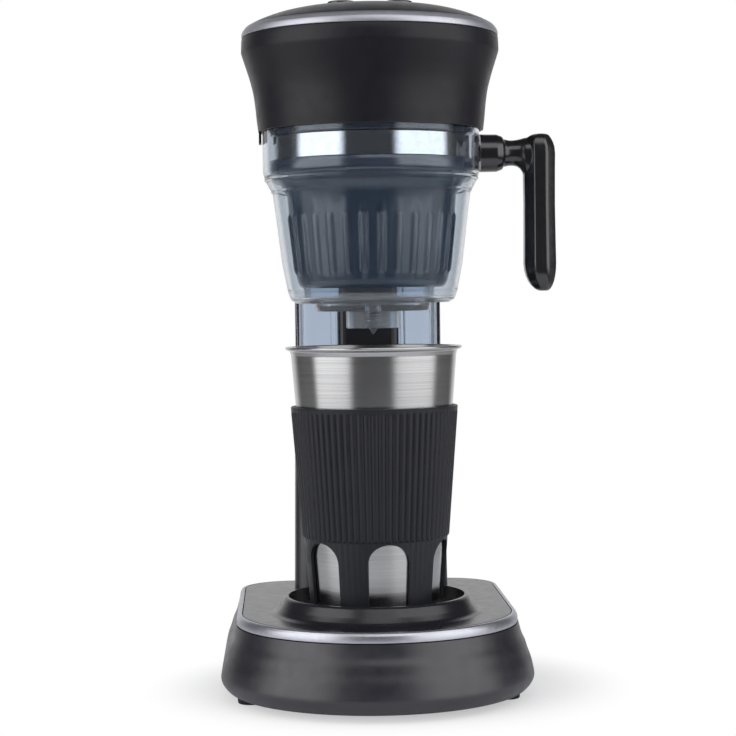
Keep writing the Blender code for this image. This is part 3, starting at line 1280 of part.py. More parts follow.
def grip_section(height, width_share, depth_share):
    """An eight-sided section of the grip."""
    middle = (GRIP_INSIDE + GRIP_OUTSIDE) / 2
    half = (GRIP_OUTSIDE - GRIP_INSIDE) / 2 * width_share
    deep = GRIP_HALF_DEPTH * depth_share
    facet = GRIP_FACET * min(width_share, depth_share)
    corners = ((-half + facet, -deep), (half - facet, -deep), (half, -deep + facet),
               (half, deep - facet), (half - facet, deep), (-half + facet, deep),
               (-half, deep - facet), (-half, -deep + facet))
    return [Vector((middle + x, y, height)) for x, y in corners]


def make_jug_handle(pivot, material):
    """The grip, lofted through eight-sided sections, on a round neck."""
    height = GRIP_TOP - GRIP_BOTTOM
    sections = [grip_section(GRIP_BOTTOM + height * up, wide, deep)
                for up, wide, deep in GRIP_SECTION_SHARES]
    handle = lofted("jug_handle", sections, material, pivot)
    chamfer(handle, GRIP_FACET * 0.16)
    start = COLLAR_END + GAP
    end = (GRIP_INSIDE + GRIP_OUTSIDE) / 2
    neck = turned("handle_neck", [(NECK_RADIUS * 1.12, start),
                                  (NECK_RADIUS, start + (GRIP_INSIDE - start) * 0.4),
                                  (NECK_RADIUS * 1.05, GRIP_INSIDE - GAP),
                                  (NECK_RADIUS * 1.2, end)],
                  None, pivot, SMALL_TURNS)
    lay_along_x(neck)
    fuse(handle, neck)
    way = turned("screw_way", [(HANDLE_SCREW_RADIUS + GAP, start - OVERRUN),
                               (HANDLE_SCREW_RADIUS + GAP, GRIP_OUTSIDE + OVERRUN)],
                 None, pivot, TINY_TURNS)
    lay_along_x(way)
    cut(handle, way)
    recess = turned("screw_recess", [(HANDLE_SCREW_HEAD + GAP, end),
                                     (HANDLE_SCREW_HEAD + GAP, GRIP_OUTSIDE + OVERRUN)],
                    None, pivot, TINY_TURNS)
    lay_along_x(recess)
    cut(handle, recess)


def make_handle_screw(pivot, material):
    tip = JUG_RADIUS + HANDLE_STUB_LENGTH - HANDLE_SCREW_DEPTH + GAP
    seat = (GRIP_INSIDE + GRIP_OUTSIDE) / 2 + GAP
    screw = turned("handle_screw", [(HANDLE_SCREW_RADIUS, tip), (HANDLE_SCREW_RADIUS, seat),
                                    (HANDLE_SCREW_HEAD, seat),
                                    (HANDLE_SCREW_HEAD, seat + HANDLE_SCREW_HEAD_LENGTH)],
                   material, pivot, TINY_TURNS)
    lay_along_x(screw)


# Filter.

def fluted_circle(radius, height, rise):
    """A circle with a raised rib for each flute; rise 0 leaves it round."""
    points = []
    for i in range(2 * BASKET_RIBS):
        turn = pi * i / BASKET_RIBS
        reach = radius + rise * (i % 2)
        points.append(Vector((reach * cos(turn), reach * sin(turn), height)))
    return points


def basket_radius(height):
    share = (height - BASKET_BOTTOM) / (BASKET_TOP - BASKET_BOTTOM)
    return BASKET_BOTTOM_RADIUS + (BASKET_TOP_RADIUS - BASKET_BOTTOM_RADIUS) * share


def make_filter_basket(pivot, material):
    """A tapered cup with thirty ribs and a deep flange that rests on the jug's shoulder."""
    floor = BASKET_BOTTOM + BASKET_WALL
    neck = (BASKET_TOP + FLANGE_BOTTOM) / 2
    inner = STEEL_COLLAR_RADIUS - STEEL_COLLAR_WALL * 2
    levels = [(basket_radius(floor) - BASKET_WALL - BASKET_CORNER / 2, floor, 0),
              (basket_radius(BASKET_TOP) - BASKET_WALL, BASKET_TOP, 0),
              (inner, FLANGE_TOP, 0),
              (FLANGE_RADIUS, FLANGE_TOP, 0),
              (FLANGE_RADIUS, FLANGE_BOTTOM, 0),
              (basket_radius(neck) + RIB_RAMP, neck, 0),
              (basket_radius(RIB_END + RIB_RAMP), RIB_END + RIB_RAMP, 0),
              (basket_radius(RIB_END), RIB_END, RIB_HEIGHT),
              (basket_radius(RIB_START), RIB_START, RIB_HEIGHT),
              (basket_radius(RIB_START - RIB_RAMP), RIB_START - RIB_RAMP, 0),
              (basket_radius(BASKET_BOTTOM + BASKET_CORNER), BASKET_BOTTOM + BASKET_CORNER, 0),
              (BASKET_BOTTOM_RADIUS - BASKET_CORNER, BASKET_BOTTOM, 0)]
    rings = [fluted_circle(radius, height, rise) for radius, height, rise in levels]
    lofted("filter_basket", rings, material, pivot)


def make_filter_mesh(pivot, material):
    """The fine steel cup that holds the grounds, inside the basket."""
    low = BASKET_BOTTOM + BASKET_WALL + GAP
    clear = BASKET_WALL + GAP
    outer_top = basket_radius(RIB_END) - clear
    outer_low = basket_radius(low) - clear - BASKET_CORNER
    turned("filter_mesh", [(outer_low - MESH_THICKNESS, low + MESH_THICKNESS),
                           (outer_top - MESH_THICKNESS, RIB_END), (outer_top, RIB_END),
                           (outer_low, low)], material, pivot, SMALL_TURNS)


def make_filter_collar(pivot, material):
    inner = STEEL_COLLAR_RADIUS - STEEL_COLLAR_WALL
    low = FLANGE_TOP + GAP
    turned("filter_collar", [(STEEL_COLLAR_RADIUS, low), (STEEL_COLLAR_RADIUS, STEEL_COLLAR_TOP),
                             (inner, STEEL_COLLAR_TOP), (inner, low)],
           material, pivot, ring=True)


# Drip stop.

def make_drip_stem(pivot, material):
    flange = STEM_TIP + STEM_CONE
    top = SUMP_LEVEL + STEM_ABOVE_SUMP
    turned("drip_stem", [(STEM_RADIUS * 0.16, STEM_TIP),
                         (STEM_RADIUS * 0.55, STEM_TIP + STEM_CONE * 0.3),
                         (STEM_RADIUS * 1.3, flange), (STEM_FLANGE_RADIUS, flange),
                         (STEM_FLANGE_RADIUS, flange + STEM_FLANGE),
                         (STEM_RADIUS, flange + STEM_FLANGE), (STEM_RADIUS, top)],
           material, pivot, SMALL_TURNS)


def make_drip_spring(pivot, material):
    """The return spring between the stem's flange and the cage's ceiling."""
    low = STEM_TIP + STEM_CONE + STEM_FLANGE + GAP + SPRING_WIRE
    high = CAGE_CEILING - GAP - SPRING_WIRE
    count = SPRING_CURLS * SPRING_POINTS
    points = []
    for i in range(count + 1):
        turn = 2 * pi * i / SPRING_POINTS
        points.append(Vector((SPRING_RADIUS * cos(turn), SPRING_RADIUS * sin(turn),
                              low + (high - low) * i / count)))
    tube("drip_spring", points, SPRING_WIRE, material, pivot, resolution=1)


def make_drip_seal(pivot, material):
    low = SUMP_LEVEL + GAP
    inner = STEM_RADIUS + GAP
    turned("drip_seal", [(inner, low), (SEAL_RADIUS, low), (SEAL_RADIUS * 0.9, low + JUG_WALL / 2),
                         (inner, low + JUG_WALL / 2)], material, pivot, SMALL_TURNS, ring=True)


# Mug.

def mug_radius(height):
    """Radius of the mug's steel wall at a height."""
    share = (height - MUG_BODY_BOTTOM) / (MUG_SHOULDER - MUG_BODY_BOTTOM)
    return MUG_BOTTOM_RADIUS + (MUG_SHOULDER_RADIUS - MUG_BOTTOM_RADIUS) * share


def make_mug_outer(pivot, material):
    floor = MUG_BODY_BOTTOM + MUG_WALL
    mouth = MUG_SHOULDER_RADIUS - MUG_WALL
    lip = MUG_RIM - MUG_FLANGE_THICKNESS
    profile = [(mug_radius(floor) - MUG_WALL, floor), (mouth, MUG_SHOULDER),
               (mouth, MUG_RIM - MUG_WALL / 2), (mouth + MUG_WALL / 2, MUG_RIM),
               (MUG_FLANGE_RADIUS - MUG_WALL / 2, MUG_RIM),
               (MUG_FLANGE_RADIUS, MUG_RIM - MUG_WALL / 2), (MUG_FLANGE_RADIUS, lip),
               (MUG_SHOULDER_RADIUS, MUG_SHOULDER - MUG_WALL),
               (mug_radius(MUG_BODY_BOTTOM + MUG_WALL), MUG_BODY_BOTTOM + MUG_WALL),
               (MUG_BOTTOM_RADIUS - MUG_WALL, MUG_BODY_BOTTOM)]
    turned("mug_outer", profile, material, pivot)


def make_mug_inner(pivot, material):
    """The liner: a steel cup that meets the outer wall at the mouth."""
    low = MUG_BODY_BOTTOM + MUG_LINER_FLOOR_RISE
    bend = MUG_SHOULDER - MUG_SHOULDER_DROP
    space = MUG_WALL + MUG_LINER_SPACE
    mouth = MUG_SHOULDER_RADIUS - MUG_WALL - GAP
    thin = MUG_LINER_WALL
    top = MUG_RIM - GAP
    profile = [(mug_radius(low) - space - 2 * thin, low + thin),
               (mug_radius(low) - space - thin, low + 2 * thin),
               (mug_radius(bend) - space - thin, bend), (mouth - thin, MUG_SHOULDER),
               (mouth - thin, top), (mouth, top), (mouth, MUG_SHOULDER - thin / 2),
               (mug_radius(bend) - space, bend),
               (mug_radius(low) - space, low + 2 * thin),
               (mug_radius(low) - space - 2 * thin, low)]
    turned("mug_inner", profile, material, pivot)


def ribbed_circle(radius, height, rise):
    """A circle with a crest for each rib of the sleeve; rise 0 leaves it round."""
    points = []
    for i in range(2 * SLEEVE_RIBS):
        turn = pi * i / SLEEVE_RIBS
        reach = radius + rise * (i % 2)
        points.append(Vector((reach * cos(turn), reach * sin(turn), height)))
    return points


def window_cutter(pivot):
    """Six arches whose sides run to the axis, open at the sleeve's bottom."""
    mesh = bmesh.new()
    near = MUG_BOTTOM_RADIUS * 0.8
    far = MUG_SHOULDER_RADIUS * 1.2
    half = mug_radius(WINDOW_TOP) * sin(WINDOW_HALF_ANGLE)
    spring_line = WINDOW_TOP - half
    low = SLEEVE_BOTTOM - OVERRUN
    for number in range(WINDOW_COUNT):
        turn = -pi / 2 + WINDOW_TURN + 2 * pi * number / WINDOW_COUNT
        outward = Vector((cos(turn), sin(turn), 0))
        along = Vector((-sin(turn), cos(turn), 0))
        arch = [(cos(pi * i / WINDOW_ARCH_STEPS), sin(pi * i / WINDOW_ARCH_STEPS))
                for i in range(WINDOW_ARCH_STEPS + 1)]
        shape = [(1, low)] + [(x, spring_line + half * z) for x, z in arch] + [(-1, low)]
        rings = []
        for reach in (near, far):
            width = reach * sin(WINDOW_HALF_ANGLE)
            rings.append([outward * (reach * cos(WINDOW_HALF_ANGLE)) + along * (width * x)
                          + Vector((0, 0, z)) for x, z in shape])
        loft(mesh, rings)
    return finish("sleeve_windows", mesh, None, pivot)


def make_mug_sleeve(pivot, material):
    """The rubber sleeve, ribbed above and cut into six arches below."""
    crest = SLEEVE_RIB_HEIGHT
    base = SLEEVE_SMOOTH
    levels = [(mug_radius(SLEEVE_BOTTOM) + GAP, SLEEVE_BOTTOM, 0),
              (mug_radius(SLEEVE_TOP) + GAP, SLEEVE_TOP, 0),
              (mug_radius(SLEEVE_TOP) + GAP + base, SLEEVE_TOP, crest),
              (mug_radius(SLEEVE_RIB_BOTTOM) + GAP + base, SLEEVE_RIB_BOTTOM, crest),
              (mug_radius(SLEEVE_RIB_BOTTOM) + GAP + base, SLEEVE_RIB_BOTTOM - SLEEVE_LIP / 2, 0),
              (mug_radius(SLEEVE_BOTTOM) + GAP + base, SLEEVE_BOTTOM, 0)]
    rings = [ribbed_circle(radius, height, rise) for radius, height, rise in levels]
    sleeve = lofted("mug_sleeve", rings, material, pivot, ring=True)
    cut(sleeve, window_cutter(pivot))


def make_mug_base_pad(pivot, material):
    radius = MUG_BOTTOM_RADIUS - PAD_MARGIN
    top = MUG_FOOT + PAD_THICKNESS
    turned("mug_base_pad", [(radius * 0.97, MUG_FOOT), (radius, MUG_FOOT + PAD_THICKNESS / 2),
                            (radius, top)], material, pivot, SMALL_TURNS)


# The whole machine.

def build_base(axis):
    charcoal = charcoal_plastic()
    grip_rubber = rubber()
    steel = brushed_steel()
    make_base_skirt(axis, charcoal)
    make_base_trim(axis, satin_silver())
    make_top_deck(axis, charcoal)
    make_cup_mat(axis, grip_rubber)
    make_bottom_cover(axis, charcoal)
    make_feet(axis, grip_rubber)
    make_cover_screws(axis, steel)
    make_boiler_block(axis, cast_aluminium())
    make_thermostat(axis, steel)
    make_control_board(axis, circuit_board())
    make_riser_tube(axis, silicone())
    make_water_hose(axis, silicone())
    make_cord_gland(axis, grip_rubber)


def build_column(axis):
    charcoal = charcoal_plastic()
    clear = clear_plastic()
    make_pedestal(axis, charcoal)
    make_spine_front(axis, charcoal)
    make_spine_rear(axis, charcoal)
    make_head_neck(axis, charcoal)
    make_water_tank(axis, clear)
    make_tank_seal(axis, silicone())
    lid_pivot = empty("lid_hinge", (0, LID_PIN_Y, LID_PIN_Z), axis)
    make_tank_lid(axis, lid_pivot, charcoal)
    make_lid_hinge_pin(axis, polished_steel())


def build_head(axis):
    charcoal = charcoal_plastic()
    black = black_plastic()
    make_head_shell(axis, charcoal)
    make_head_trim(axis, satin_silver())
    make_head_cap(axis, charcoal)
    make_switch_plate(axis, black)
    for name, x in button_places().items():
        make_button(name, x, axis, black)
        make_switch(name.replace("button", "switch"), x, axis, black)
    make_head_base(axis, smoke_plastic())
    make_shower_plate(axis, brushed_steel())


def build_grinder(axis):
    steel = polished_steel()
    make_motor(axis, brushed_steel())
    make_motor_mount(axis, black_plastic())
    make_shaft_bush(axis, silicone())
    pivot = empty("blade_axis", (0, 0, 0), axis)
    make_blade_shaft(pivot, steel)
    make_blade(pivot, steel)
    make_blade_nut(pivot, steel)


def build_jug(axis):
    black = black_plastic()
    steel = polished_steel()
    pivot = empty("jug_axis", (0, 0, 0), axis)
    make_jug_body(pivot, clear_plastic())
    make_handle_collar(pivot, black)
    make_jug_handle(pivot, black)
    make_handle_screw(pivot, steel)
    make_filter_basket(pivot, smoke_plastic())
    make_filter_mesh(pivot, steel)
    make_filter_collar(pivot, steel)
    stem_pivot = empty("drip_axis", (0, 0, 0), pivot)
    make_drip_stem(stem_pivot, smoke_plastic())
    make_drip_spring(pivot, steel)
    make_drip_seal(stem_pivot, silicone())


def build_mug(axis):
    steel = brushed_steel()
    grip_rubber = rubber()
    pivot = empty("mug_axis", (0, 0, 0), axis)
    make_mug_outer(pivot, steel)
    make_mug_inner(pivot, steel)
    make_mug_sleeve(pivot, grip_rubber)
    make_mug_base_pad(pivot, grip_rubber)


def build_all():
    for old in list(bpy.data.objects):
        bpy.data.objects.remove(old, do_unlink=True)
    axis = empty("brew_axis", (FRAME_X, FRAME_Y, 0))
    build_base(axis)
    build_column(axis)
    build_head(axis)
    build_grinder(axis)
    build_jug(axis)
    build_mug(axis)


build_all()
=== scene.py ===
from math import atan2, cos, pi, radians, sin, tan

import bmesh
import bpy
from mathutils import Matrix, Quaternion, Vector


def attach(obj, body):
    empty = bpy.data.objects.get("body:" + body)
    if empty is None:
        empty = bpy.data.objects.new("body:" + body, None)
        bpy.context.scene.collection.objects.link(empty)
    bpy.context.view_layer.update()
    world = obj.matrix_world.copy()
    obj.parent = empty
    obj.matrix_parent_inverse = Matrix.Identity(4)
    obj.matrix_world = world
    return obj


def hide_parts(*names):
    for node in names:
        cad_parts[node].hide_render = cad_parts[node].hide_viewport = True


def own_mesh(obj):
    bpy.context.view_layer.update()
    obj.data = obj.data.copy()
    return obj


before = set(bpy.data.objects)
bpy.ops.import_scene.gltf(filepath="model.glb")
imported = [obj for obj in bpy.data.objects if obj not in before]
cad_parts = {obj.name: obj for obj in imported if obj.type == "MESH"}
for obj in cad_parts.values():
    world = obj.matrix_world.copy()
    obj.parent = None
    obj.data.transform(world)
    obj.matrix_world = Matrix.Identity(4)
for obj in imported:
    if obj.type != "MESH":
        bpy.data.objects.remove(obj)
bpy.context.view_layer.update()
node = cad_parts
scene = bpy.context.scene


# The photographer's place. The brew axis is the upright line through head, jug and mug; every
# size below is in millimetres from it, x to the right, y to the back and z up from the table.
axis_x, axis_y = -6.65, -24.25


def at(x, y, z):
    return Vector((x + axis_x, y + axis_y, z)) * 0.001


eye_turn = radians(-2.5)
eye_reach, eye_height = 1025, 198.5
aim_left, aim_height = 2.9, 164.5
film_width, lens_length, camera_roll = 36, 100.27, radians(-0.75)
eye = at(eye_reach * sin(eye_turn), -eye_reach * cos(eye_turn), eye_height)
aim = at(-aim_left * cos(eye_turn), -aim_left * sin(eye_turn), aim_height)
camera = bpy.data.objects.new("camera", bpy.data.cameras.new("camera"))
camera.data.sensor_width = film_width
camera.data.lens = lens_length
camera.data.clip_start = 0.05
camera.data.clip_end = 60
camera.location = eye
camera.rotation_mode = "QUATERNION"
camera.rotation_quaternion = ((aim - eye).to_track_quat("-Z", "Y")
                              @ Quaternion((0, 0, 1), camera_roll))
scene.collection.objects.link(camera)
scene.camera = camera
scene.view_settings.view_transform = "Standard"


# The studio: two wide softboxes, left and right of the camera, a panel overhead, and a pale
# table that runs into a white room. The room's front half is dark, as behind a camera.
def faded(nodes, links, value, start, end, low=0.0, high=1.0):
    """A soft step from low to high as a value goes from start to end."""
    step = nodes.new("ShaderNodeMapRange")
    step.interpolation_type = "SMOOTHSTEP"
    step.inputs["From Min"].default_value = start
    step.inputs["From Max"].default_value = end
    step.inputs["To Min"].default_value = low
    step.inputs["To Max"].default_value = high
    links.new(value, step.inputs["Value"])
    return step.outputs["Result"]


def worked_out(nodes, links, kind, first, second):
    """Two values put together by one step of arithmetic."""
    made = nodes.new("ShaderNodeMath")
    made.operation = kind
    links.new(first, made.inputs[0])
    links.new(second, made.inputs[1])
    return made.outputs[0]


def mixed(nodes, links, share, first, second):
    """A mix of two shaders in which the second has the given share."""
    made = nodes.new("ShaderNodeMixShader")
    links.new(share, made.inputs[0])
    links.new(first.outputs[0], made.inputs[1])
    links.new(second.outputs[0], made.inputs[2])
    return made


def softbox(name, turn, reach, height, look, wide, tall, glow, soft=0.2):
    """A lamp panel that fades towards its edges, as cloth over a lamp does."""
    data = bpy.data.lights.new(name, "AREA")
    data.shape = "RECTANGLE"
    data.size, data.size_y = wide, tall
    data.energy = glow * wide * tall * pi
    data.use_nodes = True
    nodes, links = data.node_tree.nodes, data.node_tree.links
    place = nodes.new("ShaderNodeNewGeometry")
    split = nodes.new("ShaderNodeSeparateXYZ")
    links.new(place.outputs["Parametric"], split.inputs[0])
    cloth = None
    for side, start, end in ((0, 0, soft), (0, 1, 1 - soft), (1, 0, soft), (1, 1, 1 - soft)):
        fade = faded(nodes, links, split.outputs[side], start, end)
        cloth = worked_out(nodes, links, "MULTIPLY", cloth, fade) if cloth else fade
    links.new(cloth, nodes["Emission"].inputs["Strength"])
    made = bpy.data.objects.new(name, data)
    made.location = (reach * sin(turn), -reach * cos(turn), height)
    made.rotation_mode = "QUATERNION"
    made.rotation_quaternion = (Vector((0, 0, look)) - made.location).to_track_quat("-Z", "Y")
    scene.collection.objects.link(made)


softbox("left_softbox", turn=radians(-63), reach=1.30, height=0.76, look=0.76,
        wide=1.75, tall=2.24, glow=2.1)
softbox("right_softbox", turn=radians(58), reach=1.30, height=0.76, look=0.76,
        wide=2.05, tall=2.24, glow=1.9)
softbox("overhead_panel", turn=radians(5), reach=1.05, height=1.30, look=0.1,
        wide=1.3, tall=1.0, glow=1.6)


def light_studio():
    """A white room to the camera, a soft fill on matt faces, and a dark front in mirrors."""
    world = bpy.data.worlds.new("white_studio")
    world.use_nodes = True
    scene.world = world
    nodes, links = world.node_tree.nodes, world.node_tree.links
    fill = nodes["Background"]
    fill.inputs["Color"].default_value = (0.94, 0.96, 1.0, 1)
    fill.inputs["Strength"].default_value = 0.34
    white = nodes.new("ShaderNodeBackground")
    white.inputs["Color"].default_value = (1, 1, 1, 1)
    white.inputs["Strength"].default_value = 1.0
    gloss = nodes.new("ShaderNodeBackground")
    gloss.inputs["Color"].default_value = (1, 1, 1, 1)
    place = nodes.new("ShaderNodeTexCoord")
    split = nodes.new("ShaderNodeSeparateXYZ")
    links.new(place.outputs["Generated"], split.inputs[0])
    forward, upward = split.outputs["Y"], split.outputs["Z"]
    back = faded(nodes, links, forward, 0.66, 0.94, 0.05, 0.85)
    ceiling = faded(nodes, links, upward, 0.25, 0.65, 0.0, 0.05)
    table = worked_out(nodes, links, "MULTIPLY",
                       faded(nodes, links, upward, -0.03, -0.25, 0.0, 0.40),
                       faded(nodes, links, forward, -0.3, 0.5))
    room = worked_out(nodes, links, "MAXIMUM", back,
                      worked_out(nodes, links, "MAXIMUM", ceiling, table))
    links.new(room, gloss.inputs["Strength"])
    path = nodes.new("ShaderNodeLightPath")
    passed_on = worked_out(nodes, links, "MAXIMUM", path.outputs["Is Glossy Ray"],
                           path.outputs["Is Transmission Ray"])
    unseen = mixed(nodes, links, passed_on, fill, gloss)
    whole = mixed(nodes, links, path.outputs["Is Camera Ray"], unseen, white)
    links.new(whole.outputs[0], nodes["World Output"].inputs["Surface"])


light_studio()


def make_table(reach=0.42, sides=128, white_from=0.07, white_to=0.13, least_white=0.46):
    """A round pale table top, painted white further out so that no horizon shows."""
    mesh = bpy.data.meshes.new("table_top")
    rim = [(reach * cos(2 * pi * i / sides), reach * sin(2 * pi * i / sides), 0)
           for i in range(sides)]
    mesh.from_pydata(rim, [], [list(range(sides))])
    table = bpy.data.objects.new("table_top", mesh)
    scene.collection.objects.link(table)
    paint = bpy.data.materials.new("pale_table")
    paint.use_nodes = True
    nodes, links = paint.node_tree.nodes, paint.node_tree.links
    matt = nodes["Principled BSDF"]
    matt.inputs["Base Color"].default_value = (0.90, 0.90, 0.92, 1)
    matt.inputs["Roughness"].default_value = 0.7
    matt.inputs["Specular IOR Level"].default_value = 0.2
    glow = nodes.new("ShaderNodeEmission")
    glow.inputs["Color"].default_value = (1, 1, 1, 1)
    place = nodes.new("ShaderNodeTexCoord")
    far = nodes.new("ShaderNodeVectorMath")
    far.operation = "LENGTH"
    links.new(place.outputs["Object"], far.inputs[0])
    fade = faded(nodes, links, far.outputs["Value"], white_from, white_to, least_white, 1.0)
    path = nodes.new("ShaderNodeLightPath")
    seen = worked_out(nodes, links, "MAXIMUM", path.outputs["Is Camera Ray"],
                      path.outputs["Is Transmission Ray"])
    share = worked_out(nodes, links, "MULTIPLY", seen, fade)
    whole = mixed(nodes, links, share, matt, glow)
    links.new(whole.outputs[0], nodes["Material Output"].inputs["Surface"])
    mesh.materials.append(paint)


make_table()


# Base skirt: the flared charcoal shell round the foot of the machine, injection moulded in one
# piece with a fine spark-eroded grain. It is half round in front and rounded at the back corners.
def tone(red, green, blue):
    """A colour read off a picture, 0 to 255, as the light that it stands for."""
    return tuple(((c / 255 + 0.055) / 1.055) ** 2.4 if c > 10 else c / 3295
                 for c in (red, green, blue))


def finish(name, colour, roughness, metallic=0.0, specular=0.5):
    """A new material with its nodes ready to build on."""
    made = bpy.data.materials.new(name)
    made.use_nodes = True
    nodes = made.node_tree.nodes
    skin = nodes["Principled BSDF"]
    skin.inputs["Base Color"].default_value = (*colour, 1)
    skin.inputs["Roughness"].default_value = roughness
    skin.inputs["Metallic"].default_value = metallic
    skin.inputs["Specular IOR Level"].default_value = specular
    return made, nodes, made.node_tree.links, skin


def noise_field(nodes, links, per_mm, detail=3.0, stretch=(1, 1, 1)):
    """Noise fixed to the piece, with so many features to a millimetre."""
    place = nodes.new("ShaderNodeTexCoord")
    spread = nodes.new("ShaderNodeMapping")
    spread.inputs["Scale"].default_value = stretch
    field = nodes.new("ShaderNodeTexNoise")
    field.inputs["Scale"].default_value = per_mm * 1000
    field.inputs["Detail"].default_value = detail
    links.new(place.outputs["Object"], spread.inputs["Vector"])
    links.new(spread.outputs["Vector"], field.inputs["Vector"])
    return field.outputs["Fac"]


def spread_between(nodes, links, value, low, high, start=0.3, end=0.7):
    """A straight slope from low to high as a value goes from start to end."""
    span = nodes.new("ShaderNodeMapRange")
    span.inputs["From Min"].default_value = start
    span.inputs["From Max"].default_value = end
    span.inputs["To Min"].default_value = low
    span.inputs["To Max"].default_value = high
    links.new(value, span.inputs["Value"])
    return span.outputs["Result"]


def two_tones(nodes, links, value, first, second, start=0.3, end=0.7):
    """A colour between two as a value goes from start to end."""
    ramp = nodes.new("ShaderNodeValToRGB")
    ramp.color_ramp.elements[0].position = start
    ramp.color_ramp.elements[1].position = end
    ramp.color_ramp.elements[0].color = (*first, 1)
    ramp.color_ramp.elements[1].color = (*second, 1)
    links.new(value, ramp.inputs["Fac"])
    return ramp.outputs["Color"]


def press_in(nodes, links, skin, height, depth_mm, strength):
    """A fine surface relief of so many millimetres, on top of any that is there."""
    bump = nodes.new("ShaderNodeBump")
    bump.inputs["Strength"].default_value = strength
    bump.inputs["Distance"].default_value = depth_mm * 0.001
    links.new(height, bump.inputs["Height"])
    before = skin.inputs["Normal"].links
    if before:
        links.new(before[0].from_socket, bump.inputs["Normal"])
    links.new(bump.outputs["Normal"], skin.inputs["Normal"])


def grained_plastic(name, dark, light, smooth, rough, depth=0.035, specular=0.5, sheen=0.0):
    """Moulded plastic: spark-eroded grain, cloudy gloss and a faint change of colour."""
    made, nodes, links, skin = finish(name, dark, rough, specular=specular)
    skin.inputs["Sheen Weight"].default_value = sheen
    skin.inputs["Sheen Roughness"].default_value = 0.3
    clouds = noise_field(nodes, links, 0.035, 4)
    links.new(two_tones(nodes, links, clouds, dark, light), skin.inputs["Base Color"])
    wear = noise_field(nodes, links, 0.16, 5)
    links.new(spread_between(nodes, links, wear, smooth, rough), skin.inputs["Roughness"])
    press_in(nodes, links, skin, noise_field(nodes, links, 2.6, 2), depth, 0.6)
    return made


charcoal = grained_plastic("charcoal_shell", tone(27, 27, 34), tone(33, 33, 41),
                           smooth=0.30, rough=0.40, specular=0.75)


def curve_through(points, steps=6):
    """A smooth line through a few set-out points of a profile."""
    line = []
    ends = [points[0], *points, points[-1]]
    for a, b, c, d in zip(ends, ends[1:], ends[2:], ends[3:]):
        for step in range(steps):
            t = step / steps
            line.append(tuple(0.5 * (2 * q + (r - p) * t + (2 * p - 5 * q + 4 * r - s) * t * t
                                     + (3 * q - p - 3 * r + s) * t ** 3)
                              for p, q, r, s in zip(a, b, c, d)))
    return line + [tuple(points[-1])]


def eased(outline, steps=5):
    """A closed outline whose corners (x, y, radius) are rounded off."""
    line = []
    for i, corner in enumerate(outline):
        here = Vector(corner[:2])
        before, after = Vector(outline[i - 1][:2]), Vector(outline[(i + 1) % len(outline)][:2])
        if len(corner) < 3:
            line.append(tuple(here))
            continue
        back, on = before - here, after - here
        half = max(back.angle(on) / 2, 0.05)
        reach = min(corner[2] / tan(half), back.length * 0.49, on.length * 0.49)
        start, end = here + back.normalized() * reach, here + on.normalized() * reach
        for step in range(steps + 1):
            t = step / steps
            line.append(tuple(start * (1 - t) ** 2 + here * 2 * t * (1 - t) + end * t * t))
    return line


def bow(x, y, radius, start, end, steps):
    """Points along a round stretch of an outline, between two angles."""
    return [(x + radius * cos(start + (end - start) * i / steps),
             y + radius * sin(start + (end - start) * i / steps)) for i in range(steps + 1)]


base_radius, base_rear, rear_corner = 70, 118.5, 28


def base_outline(grow):
    """The base seen from above: a half circle in front, straight sides, round back corners."""
    x, y = base_radius - rear_corner, base_rear - rear_corner
    return (bow(0, 0, base_radius + grow, pi, 2 * pi, 72)
            + bow(x, y, rear_corner + grow, 0, pi / 2, 20)
            + bow(-x, y, rear_corner + grow, pi / 2, pi, 20))


def skin_over(name, rows, closed=False, capped=False, sharp=32):
    """A smooth-shaded mesh over rows of points in millimetres from the brew axis."""
    count = len(rows[0])
    points = [at(*p) for row in rows for p in row]
    faces = []
    pairs = list(zip(range(len(rows)), range(1, len(rows))))
    if closed:
        pairs.append((len(rows) - 1, 0))
    for low, high in pairs:
        for i in range(count):
            j = (i + 1) % count
            faces.append((low * count + i, low * count + j, high * count + j, high * count + i))
    if capped:
        faces.append(tuple(reversed(range(count))))
        faces.append(tuple(range((len(rows) - 1) * count, len(rows) * count)))
    mesh = bpy.data.meshes.new(name)
    mesh.from_pydata(points, [], faces)
    work = bmesh.new()
    work.from_mesh(mesh)
    bmesh.ops.recalc_face_normals(work, faces=work.faces)
    work.to_mesh(mesh)
    work.free()
    mesh.shade_smooth()
    mesh.set_sharp_from_angle(angle=radians(sharp))
    made = bpy.data.objects.new(name, mesh)
    scene.collection.objects.link(made)
    return made


def dressed(piece, body, material, slot, *nodes):
    """Give a piece its material and its body, and hide the CAD nodes that it stands for. The slot is
    not used.
    """
    piece.data.materials.clear()
    piece.data.materials.append(material)
    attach(piece, body)
    if nodes:
        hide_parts(*nodes)
    return piece


skirt_top, skirt_foot = 37.2, 4.3
skirt_outer = curve_through([(0.77, skirt_top), (2.3, 31.5), (4.1, 27.5), (5.3, 23.6), (6.8, 19.6),
                             (7.8, 15.6), (8.5, 11.6), (8.1, 9.2), (6.7, 6.9), (4.9, 5.1),
                             (3.6, skirt_foot)])
skirt_inner = [(1.1, skirt_foot), (1.1, 8.4), (5.3, 15.6), (1.6, 27.5), (-1.7, skirt_top)]
skirt_section = skirt_outer + skirt_inner
base_skirt = skin_over("base_shell", [[(x, y, z) for x, y in base_outline(out)]
                                      for out, z in skirt_section], closed=True)
dressed(base_skirt, "machine", charcoal, "charcoal_plastic", "base_skirt")


